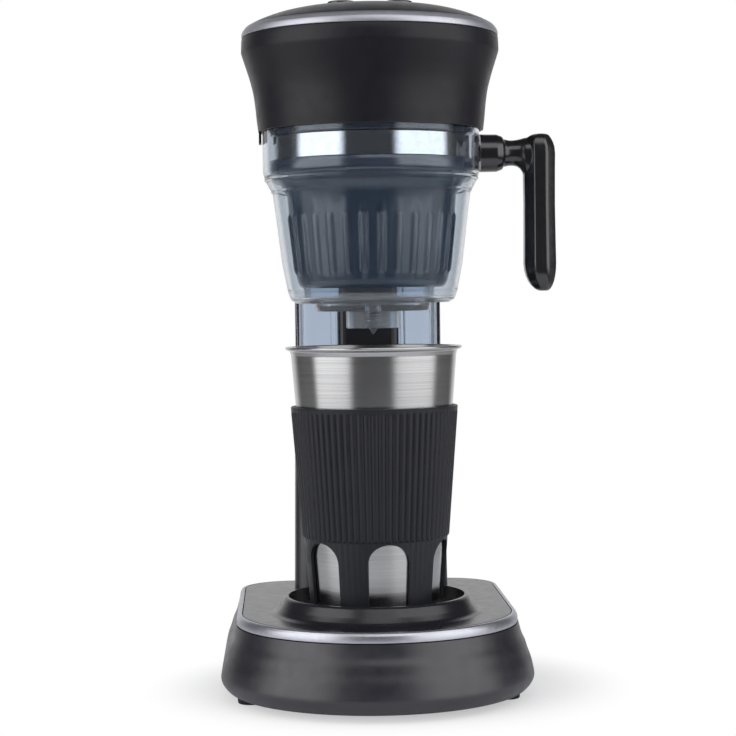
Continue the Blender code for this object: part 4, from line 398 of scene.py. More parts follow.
# Base trim: the satin silver bead between skirt and deck, a plastic moulding with a metal
# coat, clipped over the skirt's top edge. Its shoulder is rounded over.
def satin_metal(name, dark, light, smooth, rough):
    """Metal-coated plastic: faint flow lines, soft gloss and small dull patches."""
    made, nodes, links, skin = finish(name, dark, rough, metallic=0.9)
    clouds = noise_field(nodes, links, 0.05, 4)
    links.new(two_tones(nodes, links, clouds, dark, light), skin.inputs["Base Color"])
    wear = noise_field(nodes, links, 0.5, 4)
    links.new(spread_between(nodes, links, wear, smooth, rough), skin.inputs["Roughness"])
    press_in(nodes, links, skin, noise_field(nodes, links, 5, 2), 0.002, 0.4)
    return made


silver = satin_metal("satin_silver", tone(176, 177, 186), tone(188, 189, 197),
                     smooth=0.30, rough=0.38)
trim_foot, deck_level = 37.5, 42.5
trim_section = eased([(0.4, trim_foot, 0.4), (0.4, 39.6), (0.1, 40.9, 2.0), (-0.5, 42.0, 1.2),
                      (-1.2, deck_level, 0.6), (-2.4, deck_level, 0.3), (-2.4, trim_foot)])
base_trim = skin_over("base_bead", [[(x, y, z) for x, y in base_outline(out)]
                                    for out, z in trim_section], closed=True)
dressed(base_trim, "machine", silver, "satin_silver", "base_trim")


# Deck: the base's top plate with the raised well that keeps the mug under the jug. It is
# moulded in charcoal with a smoother face than the skirt, so it mirrors the room at a low look.
def turned(name, profile, closed=True, sides=192, centre=(0, 0)):
    """A turned piece from its profile of radii and heights."""
    rows = [[(centre[0] + r * cos(2 * pi * i / sides), centre[1] + r * sin(2 * pi * i / sides), z)
             for i in range(sides)] for r, z in profile]
    return skin_over(name, rows, closed=closed, capped=not closed)


def joined(first, *others):
    """One object from several meshes."""
    work = bmesh.new()
    for piece in (first, *others):
        work.from_mesh(piece.data)
    work.to_mesh(first.data)
    work.free()
    for piece in others:
        bpy.data.objects.remove(piece)
    return first


deck_face = grained_plastic("deck_face", tone(25, 25, 30), tone(30, 30, 36),
                            smooth=0.23, rough=0.28, depth=0.002)
deck_under, deck_inset, well_foot = 39.5, -8, 53.5
deck_section = eased([(-2.7, deck_under), (-2.7, deck_level, 0.5), (deck_inset, deck_level),
                      (deck_inset, deck_under)])
deck_edge = skin_over("deck_edge", [[(x, y, z) for x, y in base_outline(out)]
                                    for out, z in deck_section], closed=True)


def deck_plate():
    """The flat of the deck between its edge and the well, with the well's hole in it."""
    work = bmesh.new()
    edges = []
    for line in (base_outline(deck_inset), bow(0, 0, well_foot, 0, 2 * pi, 192)[:-1]):
        row = [work.verts.new(at(x, y, deck_level)) for x, y in line]
        edges += [work.edges.new((row[i - 1], row[i])) for i in range(len(row))]
    bmesh.ops.triangle_fill(work, use_beauty=True, edges=edges)
    for face in work.faces:
        if face.normal.z < 0:
            face.normal_flip()
    mesh = bpy.data.meshes.new("deck_flat")
    work.to_mesh(mesh)
    work.free()
    made = bpy.data.objects.new("deck_flat", mesh)
    scene.collection.objects.link(made)
    return made


well_under, well_floor, well_lip = 41, 44.2, 51
well_section = eased([(well_foot, well_under), (well_foot, deck_level), (50.6, 43.2, 2.5),
                      (48.6, 46.2, 3.5), (46.6, 50.2, 2.0), (45.6, well_lip, 1.0),
                      (43.8, well_lip, 0.7), (42.4, well_floor, 1.0), (1.0, well_floor),
                      (1.0, well_under)])
well = turned("deck_well", well_section)
deck = joined(deck_edge, deck_plate(), well)
deck.name = "deck"
dressed(deck, "machine", deck_face, "charcoal_plastic", "top_deck")


# Mat: a disc of soft rubber that lies in the well's floor and keeps the mug from sliding. It is
# pressed with rings that the mug's foot grips, and its edge is broken.
def rubber_skin(name, dark, light, rough=0.72):
    """Soft rubber: matt, a little dusty in the hollows, with a fine skin."""
    made, nodes, links, skin = finish(name, dark, rough, specular=0.35)
    clouds = noise_field(nodes, links, 0.12, 6)
    links.new(two_tones(nodes, links, clouds, dark, light), skin.inputs["Base Color"])
    links.new(spread_between(nodes, links, clouds, rough - 0.1, rough + 0.08),
              skin.inputs["Roughness"])
    skin.inputs["Sheen Weight"].default_value = 0.05
    skin.inputs["Sheen Roughness"].default_value = 0.5
    press_in(nodes, links, skin, noise_field(nodes, links, 3.5, 3), 0.03, 0.5)
    return made


black_rubber = rubber_skin("black_rubber", tone(28, 28, 32), tone(36, 36, 40))
mat_radius, mat_under, mat_face, ring_floor = 40.8, 44.5, 45.2, 44.95
mat_section = [(0.5, mat_under), (mat_radius, mat_under), (mat_radius, 44.9), (40.5, mat_face)]
for ring_radius in range(36, 8, -4):
    mat_section += [(ring_radius + 1.2, mat_face), (ring_radius + 0.8, ring_floor),
                    (ring_radius - 0.8, ring_floor), (ring_radius - 1.2, mat_face)]
mat_section.append((0.5, mat_face))
dressed(turned("well_mat", mat_section), "machine", black_rubber, "rubber", "cup_mat")


# Feet: four rubber pads pushed into the base's underside, so that the machine stands firm and
# doesn't creep. Each is rounded where it meets the table.
foot_x, front_foot_y, rear_foot_y = 63.5, -14, 97
foot_section = eased([(0.4, 0.0), (6.4, 0.0, 0.9), (6.8, 4.2, 0.3), (0.4, 4.2)])
foot_places = [(side * foot_x, y) for y in (front_foot_y, rear_foot_y) for side in (-1, 1)]
for number, place in enumerate(foot_places, start=1):
    foot = turned("foot_pad_" + str(number), foot_section, sides=64, centre=place)
    dressed(foot, "machine", black_rubber, "rubber", "foot_" + str(number))


# Under the base: the cover plate, its four socket screws, and the rubber bush at the back that
# the supply lead would leave by. These keep their modelled shapes.
def carried(name, material, bevel=0.0):
    """A CAD node that keeps its shape and gets its finish, with its edges just broken."""
    piece = node[name]
    piece.data.materials.clear()
    piece.data.materials.append(material)
    if bevel:
        edge = piece.modifiers.new("broken_edges", "BEVEL")
        edge.width = bevel * 0.001
        edge.segments = 2
        edge.limit_method = "ANGLE"
        edge.angle_limit = radians(40)
        edge.harden_normals = True
    return piece


def machined_steel(name, light, smooth, rough):
    """Turned or rolled steel with a fine directionless grain."""
    made, nodes, links, skin = finish(name, light, rough, metallic=1.0)
    clouds = noise_field(nodes, links, 0.4, 5)
    darker = tuple(c * 0.86 for c in light)
    links.new(two_tones(nodes, links, clouds, darker, light), skin.inputs["Base Color"])
    links.new(spread_between(nodes, links, clouds, smooth, rough), skin.inputs["Roughness"])
    press_in(nodes, links, skin, noise_field(nodes, links, 6, 2), 0.01, 0.4)
    return made


screw_steel = machined_steel("screw_steel", tone(190, 190, 192), smooth=0.25, rough=0.4)
carried("bottom_cover", charcoal, bevel=0.3)
for number in range(1, 5):
    carried("cover_screw_" + str(number), screw_steel)
carried("cord_gland", black_rubber)


# Pedestal: the plinth behind the mug that carries the tank and the spine. It is moulded in
# charcoal, a little narrower at the top, with rounded upright corners, and is drawn closed.
def rounded_plan(half_width, front, rear, corner, steps=14):
    """A rounded rectangle seen from above, from its half width and its front and rear."""
    x = half_width - corner
    return (bow(-x, front + corner, corner, pi, 1.5 * pi, steps)
            + bow(x, front + corner, corner, 1.5 * pi, 2 * pi, steps)
            + bow(x, rear - corner, corner, 0, pi / 2, steps)
            + bow(-x, rear - corner, corner, pi / 2, pi, steps))


plinth_front, plinth_rear, plinth_corner = 53.5, 113.5, 9
plinth_rows = []
for half_width, inset, z in [(40.6, 0.4, 42.8), (40.6, 0, 43.3), (39.42, 0, 118.0),
                             (39.4, 0.15, 119.0), (39.4, 0.6, 119.7), (39.4, 1.2, 120.0)]:
    plinth_rows.append([(x, y, z) for x, y in rounded_plan(
        half_width - inset, plinth_front + inset, plinth_rear - inset,
        plinth_corner - inset / 2)])
plinth = skin_over("plinth", plinth_rows, capped=True)
dressed(plinth, "machine", charcoal, "charcoal_plastic", "pedestal")


# Spine: the upright channel that hides the riser tube, with its clip-on back cover and the
# short neck that carries the head. All three are moulded in charcoal.
# The spine takes a darker copy of the charcoal, a painted shade.
spine_painted_shade = grained_plastic("spine_painted_shade", tone(24, 24, 30), tone(30, 30, 37),
                             smooth=0.34, rough=0.42)
carried("spine_front", spine_painted_shade, bevel=0.4)
carried("spine_rear", spine_painted_shade, bevel=0.3)
carried("head_neck", charcoal)


# Water tank: a clear U-shaped moulding that hugs the spine, open at the top. It is faintly smoky
# plastic with a polished face. Its walls are drawn, without the small rib, outlet and lid ears.
def clear_wall(name, tint, rough, grain_depth, clear):
    """Clear moulded plastic: polished, with faint flow lines and a cool tint."""
    made, nodes, links, skin = finish(name, tint, rough)
    skin.inputs["Transmission Weight"].default_value = clear
    skin.inputs["IOR"].default_value = 1.24
    flow = noise_field(nodes, links, 0.03, 2, (1, 1, 0.35))
    links.new(spread_between(nodes, links, flow, rough * 0.6, rough * 1.5),
              skin.inputs["Roughness"])
    press_in(nodes, links, skin, flow, grain_depth, 0.25)
    return made


clear_tank = clear_wall("clear_tank", (0.68, 0.74, 0.82), rough=0.03, grain_depth=0.03,
                        clear=0.99)
tank_half, tank_front, tank_rear, tank_corner = 38.6, 57.5, 111.5, 8
notch_half, notch_rear, notch_corner = 17.2, 78.2, 2.0


def tank_plan(less, steps=8):
    """The tank from above, drawn in by less: a rounded U with a notch that holds the spine."""
    notch, depth = notch_half + less, notch_rear + less
    x, corner = tank_half - tank_corner, tank_corner - less
    front, middle = tank_front + less, (0, tank_front + less - 40)
    return (bow(-x, tank_front + tank_corner, corner, pi, 1.5 * pi, steps)
            + eased([(-notch, front, notch_corner), (-notch, depth, notch_corner),
                     (notch, depth, notch_corner), (notch, front, notch_corner),
                     middle], steps=4)[:-1]
            + bow(x, tank_front + tank_corner, corner, 1.5 * pi, 2 * pi, steps)
            + bow(x, tank_rear - tank_corner, corner, 0, pi / 2, steps)
            + bow(-x, tank_rear - tank_corner, corner, pi / 2, pi, steps))


tank_rows = [[(x, y, z) for x, y in tank_plan(less)]
             for less, z in [(0.9, 120.3), (0.25, 120.6), (0, 121.2), (0, 293.4), (0.3, 294),
                             (2.3, 294), (2.6, 293.4), (2.6, 124.0), (3.4, 122.9)]]
tank = skin_over("tank_walls", tank_rows, capped=True, sharp=40)
dressed(tank, "machine", clear_tank, "clear_plastic", "water_tank")
silicone_skin = rubber_skin("pale_silicone", tone(214, 212, 208), tone(224, 222, 218), 0.5)
carried("tank_seal", silicone_skin)


# Tank lid: a charcoal plate over the tank's mouth, notched round the spine. The barrel at its
# back turns on a ground steel pin.
pin_steel = machined_steel("pin_steel", tone(214, 214, 216), smooth=0.12, rough=0.2)
carried("tank_lid", charcoal, bevel=0.2)
carried("lid_hinge_pin", pin_steel)


# Head shell: the flared charcoal drum over the jug, with a plain mouth and one small lock tab
# under its rim at the left. It is moulded with the same fine grain as the base.
head_charcoal = grained_plastic("head_charcoal", tone(20, 20, 26), tone(26, 26, 33),
                                smooth=0.36, rough=0.45, depth=0.03, specular=0.3, sheen=0.12)
head_mouth = 282.5
shell_outer = curve_through([(56.0, head_mouth), (56.7, 288.5), (57.25, 294.4),
                             (58.3, 301.8), (60.0, 308.7), (62.0, 315.1), (63.85, 320.9)], 5)
shell_outer += [(63.97, 321.5), (64.0, 322.1), (63.9, 325.0), (63.75, 327.6)]
shell_inner = [(63.4, 328.4), (61.8, 328.4), (61.0, 318.8), (57.3, 307.7), (55.0, 294.4),
               (54.4, 290.0), (54.4, 283.0), (54.8, head_mouth)]
head_shell = turned("head_drum", shell_outer + shell_inner)


def ring_block(name, inner, outer, low, high, middle, half_angle, steps=8):
    """A short block of a ring between two radii, two heights and two angles."""
    outline = (bow(0, 0, outer, middle - half_angle, middle + half_angle, steps)
               + bow(0, 0, inner, middle + half_angle, middle - half_angle, steps))
    return skin_over(name, [[(x, y, z) for x, y in outline] for z in (low, high)], capped=True)


lock_tab = ring_block("lock_tab", 54.7, 55.8, 276.5, 284.5, pi, radians(5))
head_shell = joined(head_shell, lock_tab)
dressed(head_shell, "machine", head_charcoal, "charcoal_plastic", "head_shell")


# Head ring: the satin silver band between the drum and the dome, a metal-coated moulding that
# is snapped on. It is a little duller than the base's bead.
ring_foot, ring_top = 328.7, 334.0
head_ring_section = eased([(63.7, ring_foot, 0.4), (63.7, 330.2), (63.2, 331.6, 2.0),
                           (62.0, 333.2, 1.6), (61.0, ring_top, 0.4), (59.0, ring_top),
                           (59.0, ring_foot)])
head_ring = turned("head_ring", head_ring_section)
head_silver = satin_metal("head_silver", tone(180, 181, 190), tone(192, 193, 201),
                          smooth=0.42, rough=0.50)
dressed(head_ring, "machine", head_silver, "satin_silver", "head_trim")


# Dome: the shallow cap of the head, a charcoal moulding pushed into the ring, with two round
# holes for the grind and brew buttons.
def cut_out(piece, *tools):
    """Take each tool's shape out of a piece and throw the tools away."""
    for tool in tools:
        change = piece.modifiers.new("cut", "BOOLEAN")
        change.solver = "EXACT"
        change.object = tool
    bpy.context.view_layer.update()
    shape = bpy.data.meshes.new_from_object(
        piece.evaluated_get(bpy.context.evaluated_depsgraph_get()))
    piece.modifiers.clear()
    piece.data = shape
    for tool in tools:
        bpy.data.objects.remove(tool)
    shape.set_sharp_from_angle(angle=radians(32))
    return piece


dome_reach, dome_bottom, dome_rise, dome_steps = 60.4, 334.3, 9.8, 24
dome_seat, dome_under = 329.8, 341.4
button_side, button_y, button_hole = 14, -8, 7.3
dome_outer = []
for step in range(dome_steps + 1):
    share = 1 - (step / dome_steps) ** 1.6 * 0.995
    dome_outer.append((dome_reach * share, dome_bottom + dome_rise * (1 - share ** 3.4) * 0.95))
dome_inner = [(0.3, dome_under), (33, 341.3), (48.3, 339.0), (56.5, dome_bottom),
              (56.5, dome_seat), (58.7, dome_seat), (58.7, dome_bottom)]
dome = turned("dome", dome_outer + dome_inner)
dome = cut_out(dome, *[turned("hole", [(button_hole, 336), (button_hole, 350)], closed=False,
                              sides=64, centre=(x, button_y))
                       for x in (-button_side, button_side)])
dressed(dome, "machine", head_charcoal, "charcoal_plastic", "head_cap")


# Buttons: two round push buttons with a dished top, moulded in glossy black. Each has a collar
# that the dome holds down, and stands over its own switch on the switch plate.
def gloss_black(name, dark, light, smooth, rough):
    """Polished black plastic with a clear gloss and a few hair scratches."""
    made, nodes, links, skin = finish(name, dark, rough, specular=0.85)
    clouds = noise_field(nodes, links, 0.06, 3)
    links.new(two_tones(nodes, links, clouds, dark, light), skin.inputs["Base Color"])
    links.new(spread_between(nodes, links, noise_field(nodes, links, 0.3, 5), smooth, rough),
              skin.inputs["Roughness"])
    hairs = noise_field(nodes, links, 0.5, 2, (1, 14, 1))
    press_in(nodes, links, skin, hairs, 0.01, 0.25)
    return made


piano_black = gloss_black("piano_black", tone(24, 24, 27), tone(29, 29, 32),
                          smooth=0.15, rough=0.23)
button_foot, button_collar, button_top = 339.9, 341.1, 345.8
button_section = eased([(0.3, button_foot), (8.3, button_foot, 0.2), (8.3, button_collar, 0.2),
                        (7.0, button_collar), (7.0, button_top, 0.9), (4.6, 345.35, 2.0),
                        (0.3, 345.1)])
for name, x in (("grind_button", -button_side), ("brew_button", button_side)):
    button = turned(name + "_cap", button_section, sides=96, centre=(x, button_y))
    dressed(button, name, piano_black, "black_plastic", name)
for name in ("switch_plate", "grind_switch", "brew_switch"):
    carried(name, piano_black)


# Head floor: a glossy smoke moulding with the bayonet ring that the jug's three lugs hang on,
# and the pierced steel shower plate held under it.
def smoke_plastic(name, dark, light, smooth, rough, specular=0.5):
    """Dark blue-grey moulded plastic with a soft gloss."""
    made, nodes, links, skin = finish(name, dark, rough, specular=specular)
    clouds = noise_field(nodes, links, 0.05, 3)
    links.new(two_tones(nodes, links, clouds, dark, light), skin.inputs["Base Color"])
    links.new(spread_between(nodes, links, noise_field(nodes, links, 0.25, 4), smooth, rough),
              skin.inputs["Roughness"])
    press_in(nodes, links, skin, noise_field(nodes, links, 2.2, 2), 0.012, 0.4)
    return made


smoke = smoke_plastic("smoke_blue", tone(40, 56, 74), tone(48, 66, 86),
                      smooth=0.12, rough=0.20)
# A glossier copy of the smoke. Its gloss is real; its lighter colour is a painted highlight.
gloss_smoke_painted_highlight = smoke_plastic("gloss_smoke_painted_highlight", tone(58, 66, 82), tone(66, 75, 92),
                             smooth=0.10, rough=0.16, specular=1.0)
floor_under, floor_top, bayonet_foot = 286.6, 289.6, 279.8
lug_places, lug_half_angle = [pi / 2 + 2 * pi * k / 3 for k in range(3)], radians(11)
floor_section = eased([(6.5, floor_under), (6.5, floor_top), (54.1, floor_top),
                       (54.1, floor_under), (49.8, floor_under), (49.8, bayonet_foot, 0.5),
                       (47.4, bayonet_foot, 0.5), (47.4, floor_under)])
head_floor = turned("bayonet_floor", floor_section)
floor_lugs = [ring_block("floor_lug", 48.6, 51.1, bayonet_foot, 282.0, place, lug_half_angle)
              for place in lug_places]
head_floor = joined(head_floor, *floor_lugs)
# The bayonet floor takes the same lighter smoke, a painted highlight.
dressed(head_floor, "machine", gloss_smoke_painted_highlight, "smoke_plastic", "head_base")
carried("shower_plate", screw_steel)


# Jug: the clear bowl that hangs under the head by a bayonet. It is one moulding with a rim, a
# shoulder, a tapered wall, a stepped bottom and the valve cage below, hazy where it is thick.
clear_jug = clear_wall("clear_jug", (0.78, 0.83, 0.88), rough=0.045, grain_depth=0.02,
                       clear=0.99)


def fused(piece, *extras):
    """Melt closed extras into a closed piece."""
    for extra in extras:
        change = piece.modifiers.new("fuse", "BOOLEAN")
        change.operation = "UNION"
        change.solver = "EXACT"
        change.object = extra
    bpy.context.view_layer.update()
    shape = bpy.data.meshes.new_from_object(
        piece.evaluated_get(bpy.context.evaluated_depsgraph_get()))
    piece.modifiers.clear()
    piece.data = shape
    for extra in extras:
        bpy.data.objects.remove(extra)
    shape.set_sharp_from_angle(angle=radians(32))
    return piece


jug_section = eased([
    (29, 197, 0.4), (28.4, 193, 0.8), (13.5, 193, 0.5), (13.5, 184.5, 0.3), (11.7, 184.5, 0.3),
    (11.7, 193.5), (3.2, 193.5), (3.2, 196), (24, 196, 0.8), (26.5, 199.5, 1.5),
    (38.4, 199.5, 2.2), (40.3, 204.5, 4.0), (45.5, 241.3), (47.0, 252.6, 3.0),
    (51.5, 262.1, 3.0), (51.5, 284.6, 0.5), (52.4, 285.6, 0.6), (54, 284.0, 0.8),
    (54, 262.1, 3.0), (53.1, 259.2, 0.8), (53.5, 258.3, 0.4), (52.6, 257.6, 0.6),
    (50.1, 253.1, 0.6), (50.0, 252.2, 0.4), (49.3, 251.6, 0.6), (48.0, 241.3), (45.0, 216.5),
    (42.2, 202.3, 3.5), (40.6, 198.6, 1.5), (37.8, 197, 1.2)], 6)
jug = turned("jug_bowl", jug_section)
jug_lugs = [ring_block("jug_lug", 50.2, 52.6, 282.3, 284.5, place, lug_half_angle)
            for place in lug_places]
handle_level = 271


def along_x(name, profile, closed=True, sides=96):
    """A turned piece that lies along x at the handle's level, from radii and places along x."""
    rows = [[(x, r * cos(2 * pi * i / sides), handle_level + r * sin(2 * pi * i / sides))
             for i in range(sides)] for r, x in profile]
    return skin_over(name, rows, closed=closed, capped=not closed)


jug_stub = along_x("jug_stub", [(4, 52.8), (4, 60)], closed=False, sides=32)
jug = fused(jug, *jug_lugs, jug_stub)
dressed(jug, "jug", clear_jug, "clear_plastic", "jug_body")


def part_painted(piece, material, chosen):
    """Give another material to the faces whose middle is chosen, in millimetres from the axis."""
    piece.data.materials.append(material)
    for face in piece.data.polygons:
        x, y, z = face.center * 1000
        if chosen(x - axis_x, y - axis_y, z):
            face.material_index = len(piece.data.materials) - 1


haze_top = 201.5
foot_haze = clear_wall("jug_foot_haze", (0.78, 0.83, 0.88), rough=0.12, grain_depth=0.02,
                       clear=0.90)
part_painted(jug, foot_haze, lambda x, y, z: z < haze_top)


# Handle: a round collar on the jug, a short neck and an eight-sided grip with softened edges,
# moulded in glossy black and held by one long screw.
collar_inside, collar_end, grip_middle = 54.3, 66.3, 83.9
collar_section = eased([(4.3, collar_inside), (4.3, collar_end), (6.9, collar_end, 0.3),
                        (8.3, 65.3, 1.6), (9.3, 62.6, 3.0), (9.4, collar_inside)], 8)
collar = along_x("grip_collar", collar_section)
dressed(collar, "jug", piano_black, "black_plastic", "handle_collar")


def grip_row(z, wide, deep, lean):
    """An eight-sided section of the grip with well rounded corners."""
    half, depth = 7.9 * wide, 9.0 * deep
    facet, soft = 4.8 * min(wide, deep), 2.6 * min(wide, deep)
    corners = [(-half + facet, -depth, soft), (half - facet, -depth, soft),
               (half, -depth + facet, soft), (half, depth - facet, soft),
               (half - facet, depth, soft), (-half + facet, depth, soft),
               (-half, depth - facet, soft), (-half, -depth + facet, soft)]
    return [(grip_middle + x + lean, y, z) for x, y in eased(corners, 8)]


grip_levels = [(202.0, 0.20, 0.16, 1.7), (202.3, 0.34, 0.30, 1.6), (203.2, 0.50, 0.46, 1.3),
               (204.8, 0.66, 0.62, 0.9), (206.8, 0.79, 0.76, 0.6), (209.4, 0.90, 0.88, 0.3),
               (212.4, 0.97, 0.96, 0.1), (216.0, 1.0, 1.0, 0.0), (228.0, 0.98, 0.985, 0.0),
               (245.0, 0.96, 0.96, 0.0), (262.0, 0.98, 0.985, 0.0), (270.5, 1.0, 1.0, 0.0),
               (273.6, 0.98, 0.97, -0.1), (276.0, 0.93, 0.92, -0.4), (278.0, 0.80, 0.84, -0.4),
               (279.4, 0.60, 0.70, 0.2), (280.1, 0.44, 0.54, 0.6), (280.4, 0.26, 0.34, 0.9)]
grip = skin_over("grip", [grip_row(*level) for level in grip_levels], capped=True, sharp=40)
grip = cut_out(grip, along_x("screw_recess", [(3.3, grip_middle), (3.3, 94)], closed=False,
                             sides=48))


def neck_row(x, side, over, under, steps=72):
    """An upright section of the neck: its own reach to the sides, above and below."""
    row = []
    for i in range(steps):
        turn = 2 * pi * i / steps
        height = over if sin(turn) > 0 else under
        row.append((x, side * cos(turn), handle_level + height * sin(turn)))
    return row


neck_levels = [(66.6, 6.9, 6.9, 6.9), (67.6, 6.6, 6.6, 6.6), (69.0, 6.35, 6.3, 6.35),
               (71.0, 6.3, 6.3, 6.35), (73.0, 6.45, 6.55, 6.8), (74.6, 6.8, 6.9, 8.0),
               (75.6, 7.2, 7.2, 9.6), (76.4, 7.5, 7.4, 11.4), (77.4, 7.7, 7.6, 13.0),
               (79.5, 7.8, 7.8, 13.5)]
grip_neck = skin_over("grip_neck", [neck_row(*level) for level in neck_levels], capped=True)
grip = joined(grip, grip_neck)
grip.data.shade_smooth()
grip.data.set_sharp_from_angle(angle=radians(40))
dressed(grip, "jug", piano_black, "black_plastic", "jug_handle")
carried("handle_screw", pin_steel)


# Filter: a fluted cup in smoke-blue plastic with a deep flange, a polished steel collar on top
# of it and a fine steel cup inside that holds the grounds.
basket_ribs, rib_steps, first_rib, rib_share = 30, 16, radians(4), 0.55


def basket_row(z, reach, rise):
    """The basket's outline at a height, with its rounded ribs raised by rise."""
    row = []
    for i in range(basket_ribs * rib_steps):
        turn = 2 * pi * i / (basket_ribs * rib_steps)
        across = abs((i % rib_steps) / rib_steps * 2 - 1)
        out = reach + rise * cos(min(1.0, across / rib_share) * pi / 2)
        row.append((out * cos(turn + first_rib), out * sin(turn + first_rib), z))
    return row


cup_foot, cup_height, cup_foot_reach, cup_top_reach = 204.5, 44.5, 37.2, 42.2


def cup_reach(z):
    """The radius of the cup's wall between its ribs at a height."""
    return cup_foot_reach + (cup_top_reach - cup_foot_reach) * (z - cup_foot) / cup_height


basket_levels = [(205.9, 34.2, 0), (249.0, 40.8, 0), (267.6, 47.0, 0), (267.6, 50.2, 0),
                 (267.2, 50.6, 0), (261.2, 50.6, 0), (260.8, 50.2, 0), (258.0, 46.5, 0),
                 (254.9, 44.4, 0), (250.0, cup_reach(248), 0), (241.6, cup_reach(241.6), 0.1),
                 (240.6, cup_reach(240.6), 0.6), (239.0, cup_reach(239), 1.1),
                 (228.0, cup_reach(228), 1.1), (213.5, cup_reach(213.5), 1.1),
                 (212.4, cup_reach(212.4), 0.6), (211.4, cup_reach(211.4), 0.1),
                 (208.5, cup_reach(208.5) - 0.15, 0), (206.5, cup_reach(206.5) - 0.9, 0),
                 (205.1, cup_reach(205) - 2.2, 0), (204.5, 33.6, 0)]
basket = skin_over("fluted_basket", [basket_row(z, reach, rise)
                                     for z, reach, rise in basket_levels], capped=True, sharp=45)
dressed(basket, "jug", smoke, "smoke_plastic", "filter_basket")
flange_foot, rib_foot, rib_top, rib_front = 259.5, 211.9, 241.1, 0.22
# A lighter copy of the smoke for the rib fronts: painted highlight.
rib_painted_highlight = smoke_plastic("rib_painted_highlight", tone(84, 90, 101), tone(92, 98, 109),
                         smooth=0.16, rough=0.24)


def on_rib_front(x, y, z):
    """Whether a place on the basket is on the flat front of a rib, where a highlight is painted."""
    across = ((atan2(y, x) - first_rib) / (2 * pi / basket_ribs)) % 1 * 2 - 1
    return rib_foot < z < rib_top and abs(across) < rib_front


# The flange faces take the lighter smoke, a painted highlight.
part_painted(basket, gloss_smoke_painted_highlight, lambda x, y, z: z > flange_foot)
# The middle of each rib's front is painted lighter, a painted highlight.
part_painted(basket, rib_painted_highlight, on_rib_front)
mirror_steel = machined_steel("mirror_steel", tone(232, 233, 236), smooth=0.05, rough=0.09)
collar_foot, collar_top = 267.9, 279.2
steel_collar = turned("steel_collar", eased([(49, collar_foot), (49, collar_top, 0.4),
                                             (48, collar_top, 0.3), (48, collar_foot)]))
dressed(steel_collar, "jug", mirror_steel, "polished_steel", "filter_collar")
carried("filter_mesh", screw_steel)


# Drip stop: a smoke-blue stem with a pointed tip, a steel return spring round it and a silicone
# seal, all inside the jug's valve cage.
stem_section = eased([(0.4, 181.5), (1.3, 182.8, 0.4), (3.1, 185.7, 0.3), (5.6, 185.7, 0.2),
                      (5.6, 186.9, 0.2), (2.4, 186.9, 0.2), (2.4, 198.6, 0.4), (0.2, 198.6),
                      (0.2, 181.5)], 3)
stem = turned("drip_stem_pin", stem_section, sides=64)
smoke_grey = smoke_plastic("smoke_grey", tone(112, 117, 127), tone(124, 129, 139),
                           smooth=0.22, rough=0.32)
dressed(stem, "drip_stop", smoke_grey, "smoke_plastic", "drip_stem")
carried("drip_seal", silicone_skin)


def tube_along(name, path, radius, sides=12):
    """A round tube that follows a path, with flat ends."""
    path = [Vector(place) for place in path]
    rows, side = [], None
    for i, here in enumerate(path):
        ahead = (path[min(i + 1, len(path) - 1)] - path[max(i - 1, 0)]).normalized()
        side = ahead.orthogonal() if side is None else side - ahead * side.dot(ahead)
        side.normalize()
        over = ahead.cross(side)
        rows.append([tuple(here + (side * cos(2 * pi * k / sides) + over * sin(2 * pi * k / sides))
                           * radius) for k in range(sides)])
    return skin_over(name, rows, capped=True, sharp=50)


spring_turns, spring_steps, spring_reach, spring_wire = 4, 40, 4.2, 0.35
spring_foot, spring_height, spring_seat = 187.55, 5.3, 193.2
spring = tube_along("return_spring", [
    (spring_reach * cos(2 * pi * i / spring_steps), spring_reach * sin(2 * pi * i / spring_steps),
     spring_foot + spring_height * i / (spring_turns * spring_steps))
    for i in range(spring_turns * spring_steps + 1)], spring_wire)
dressed(spring, "jug", pin_steel, "polished_steel", "drip_spring")
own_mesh(spring)


# Mug: a double-wall steel tumbler with a thin rolled flange, brushed round and round on a
# lathe. The liner is a second cup, spun from the same sheet.
def brushed_round(name, dark, light, smooth, rough):
    """Steel brushed round its axis: fine level lines, stretched gloss and faint streaks."""
    made, nodes, links, skin = finish(name, dark, rough, metallic=1.0)
    skin.inputs["Anisotropic"].default_value = 0.65
    skin.inputs["Anisotropic Rotation"].default_value = 0.25
    streaks = noise_field(nodes, links, 2.0, 3, (0.004, 0.004, 1.3))
    links.new(two_tones(nodes, links, streaks, dark, light, 0.35, 0.65),
              skin.inputs["Base Color"])
    links.new(spread_between(nodes, links, noise_field(nodes, links, 0.02, 4), smooth, rough),
              skin.inputs["Roughness"])
    press_in(nodes, links, skin, streaks, 0.003, 0.15)
    return made


brushed = brushed_round("brushed_steel", tone(176, 176, 177), tone(190, 190, 191),
                        smooth=0.20, rough=0.27)
mug_foot, mug_shoulder, mug_foot_reach, mug_shoulder_reach = 47.0, 171.5, 31.4, 41.25


def mug_reach(z):
    """The radius of the mug's outer wall at a height."""
    climb = (mug_shoulder_reach - mug_foot_reach) * (z - mug_foot)
    return mug_foot_reach + climb / (mug_shoulder - mug_foot)


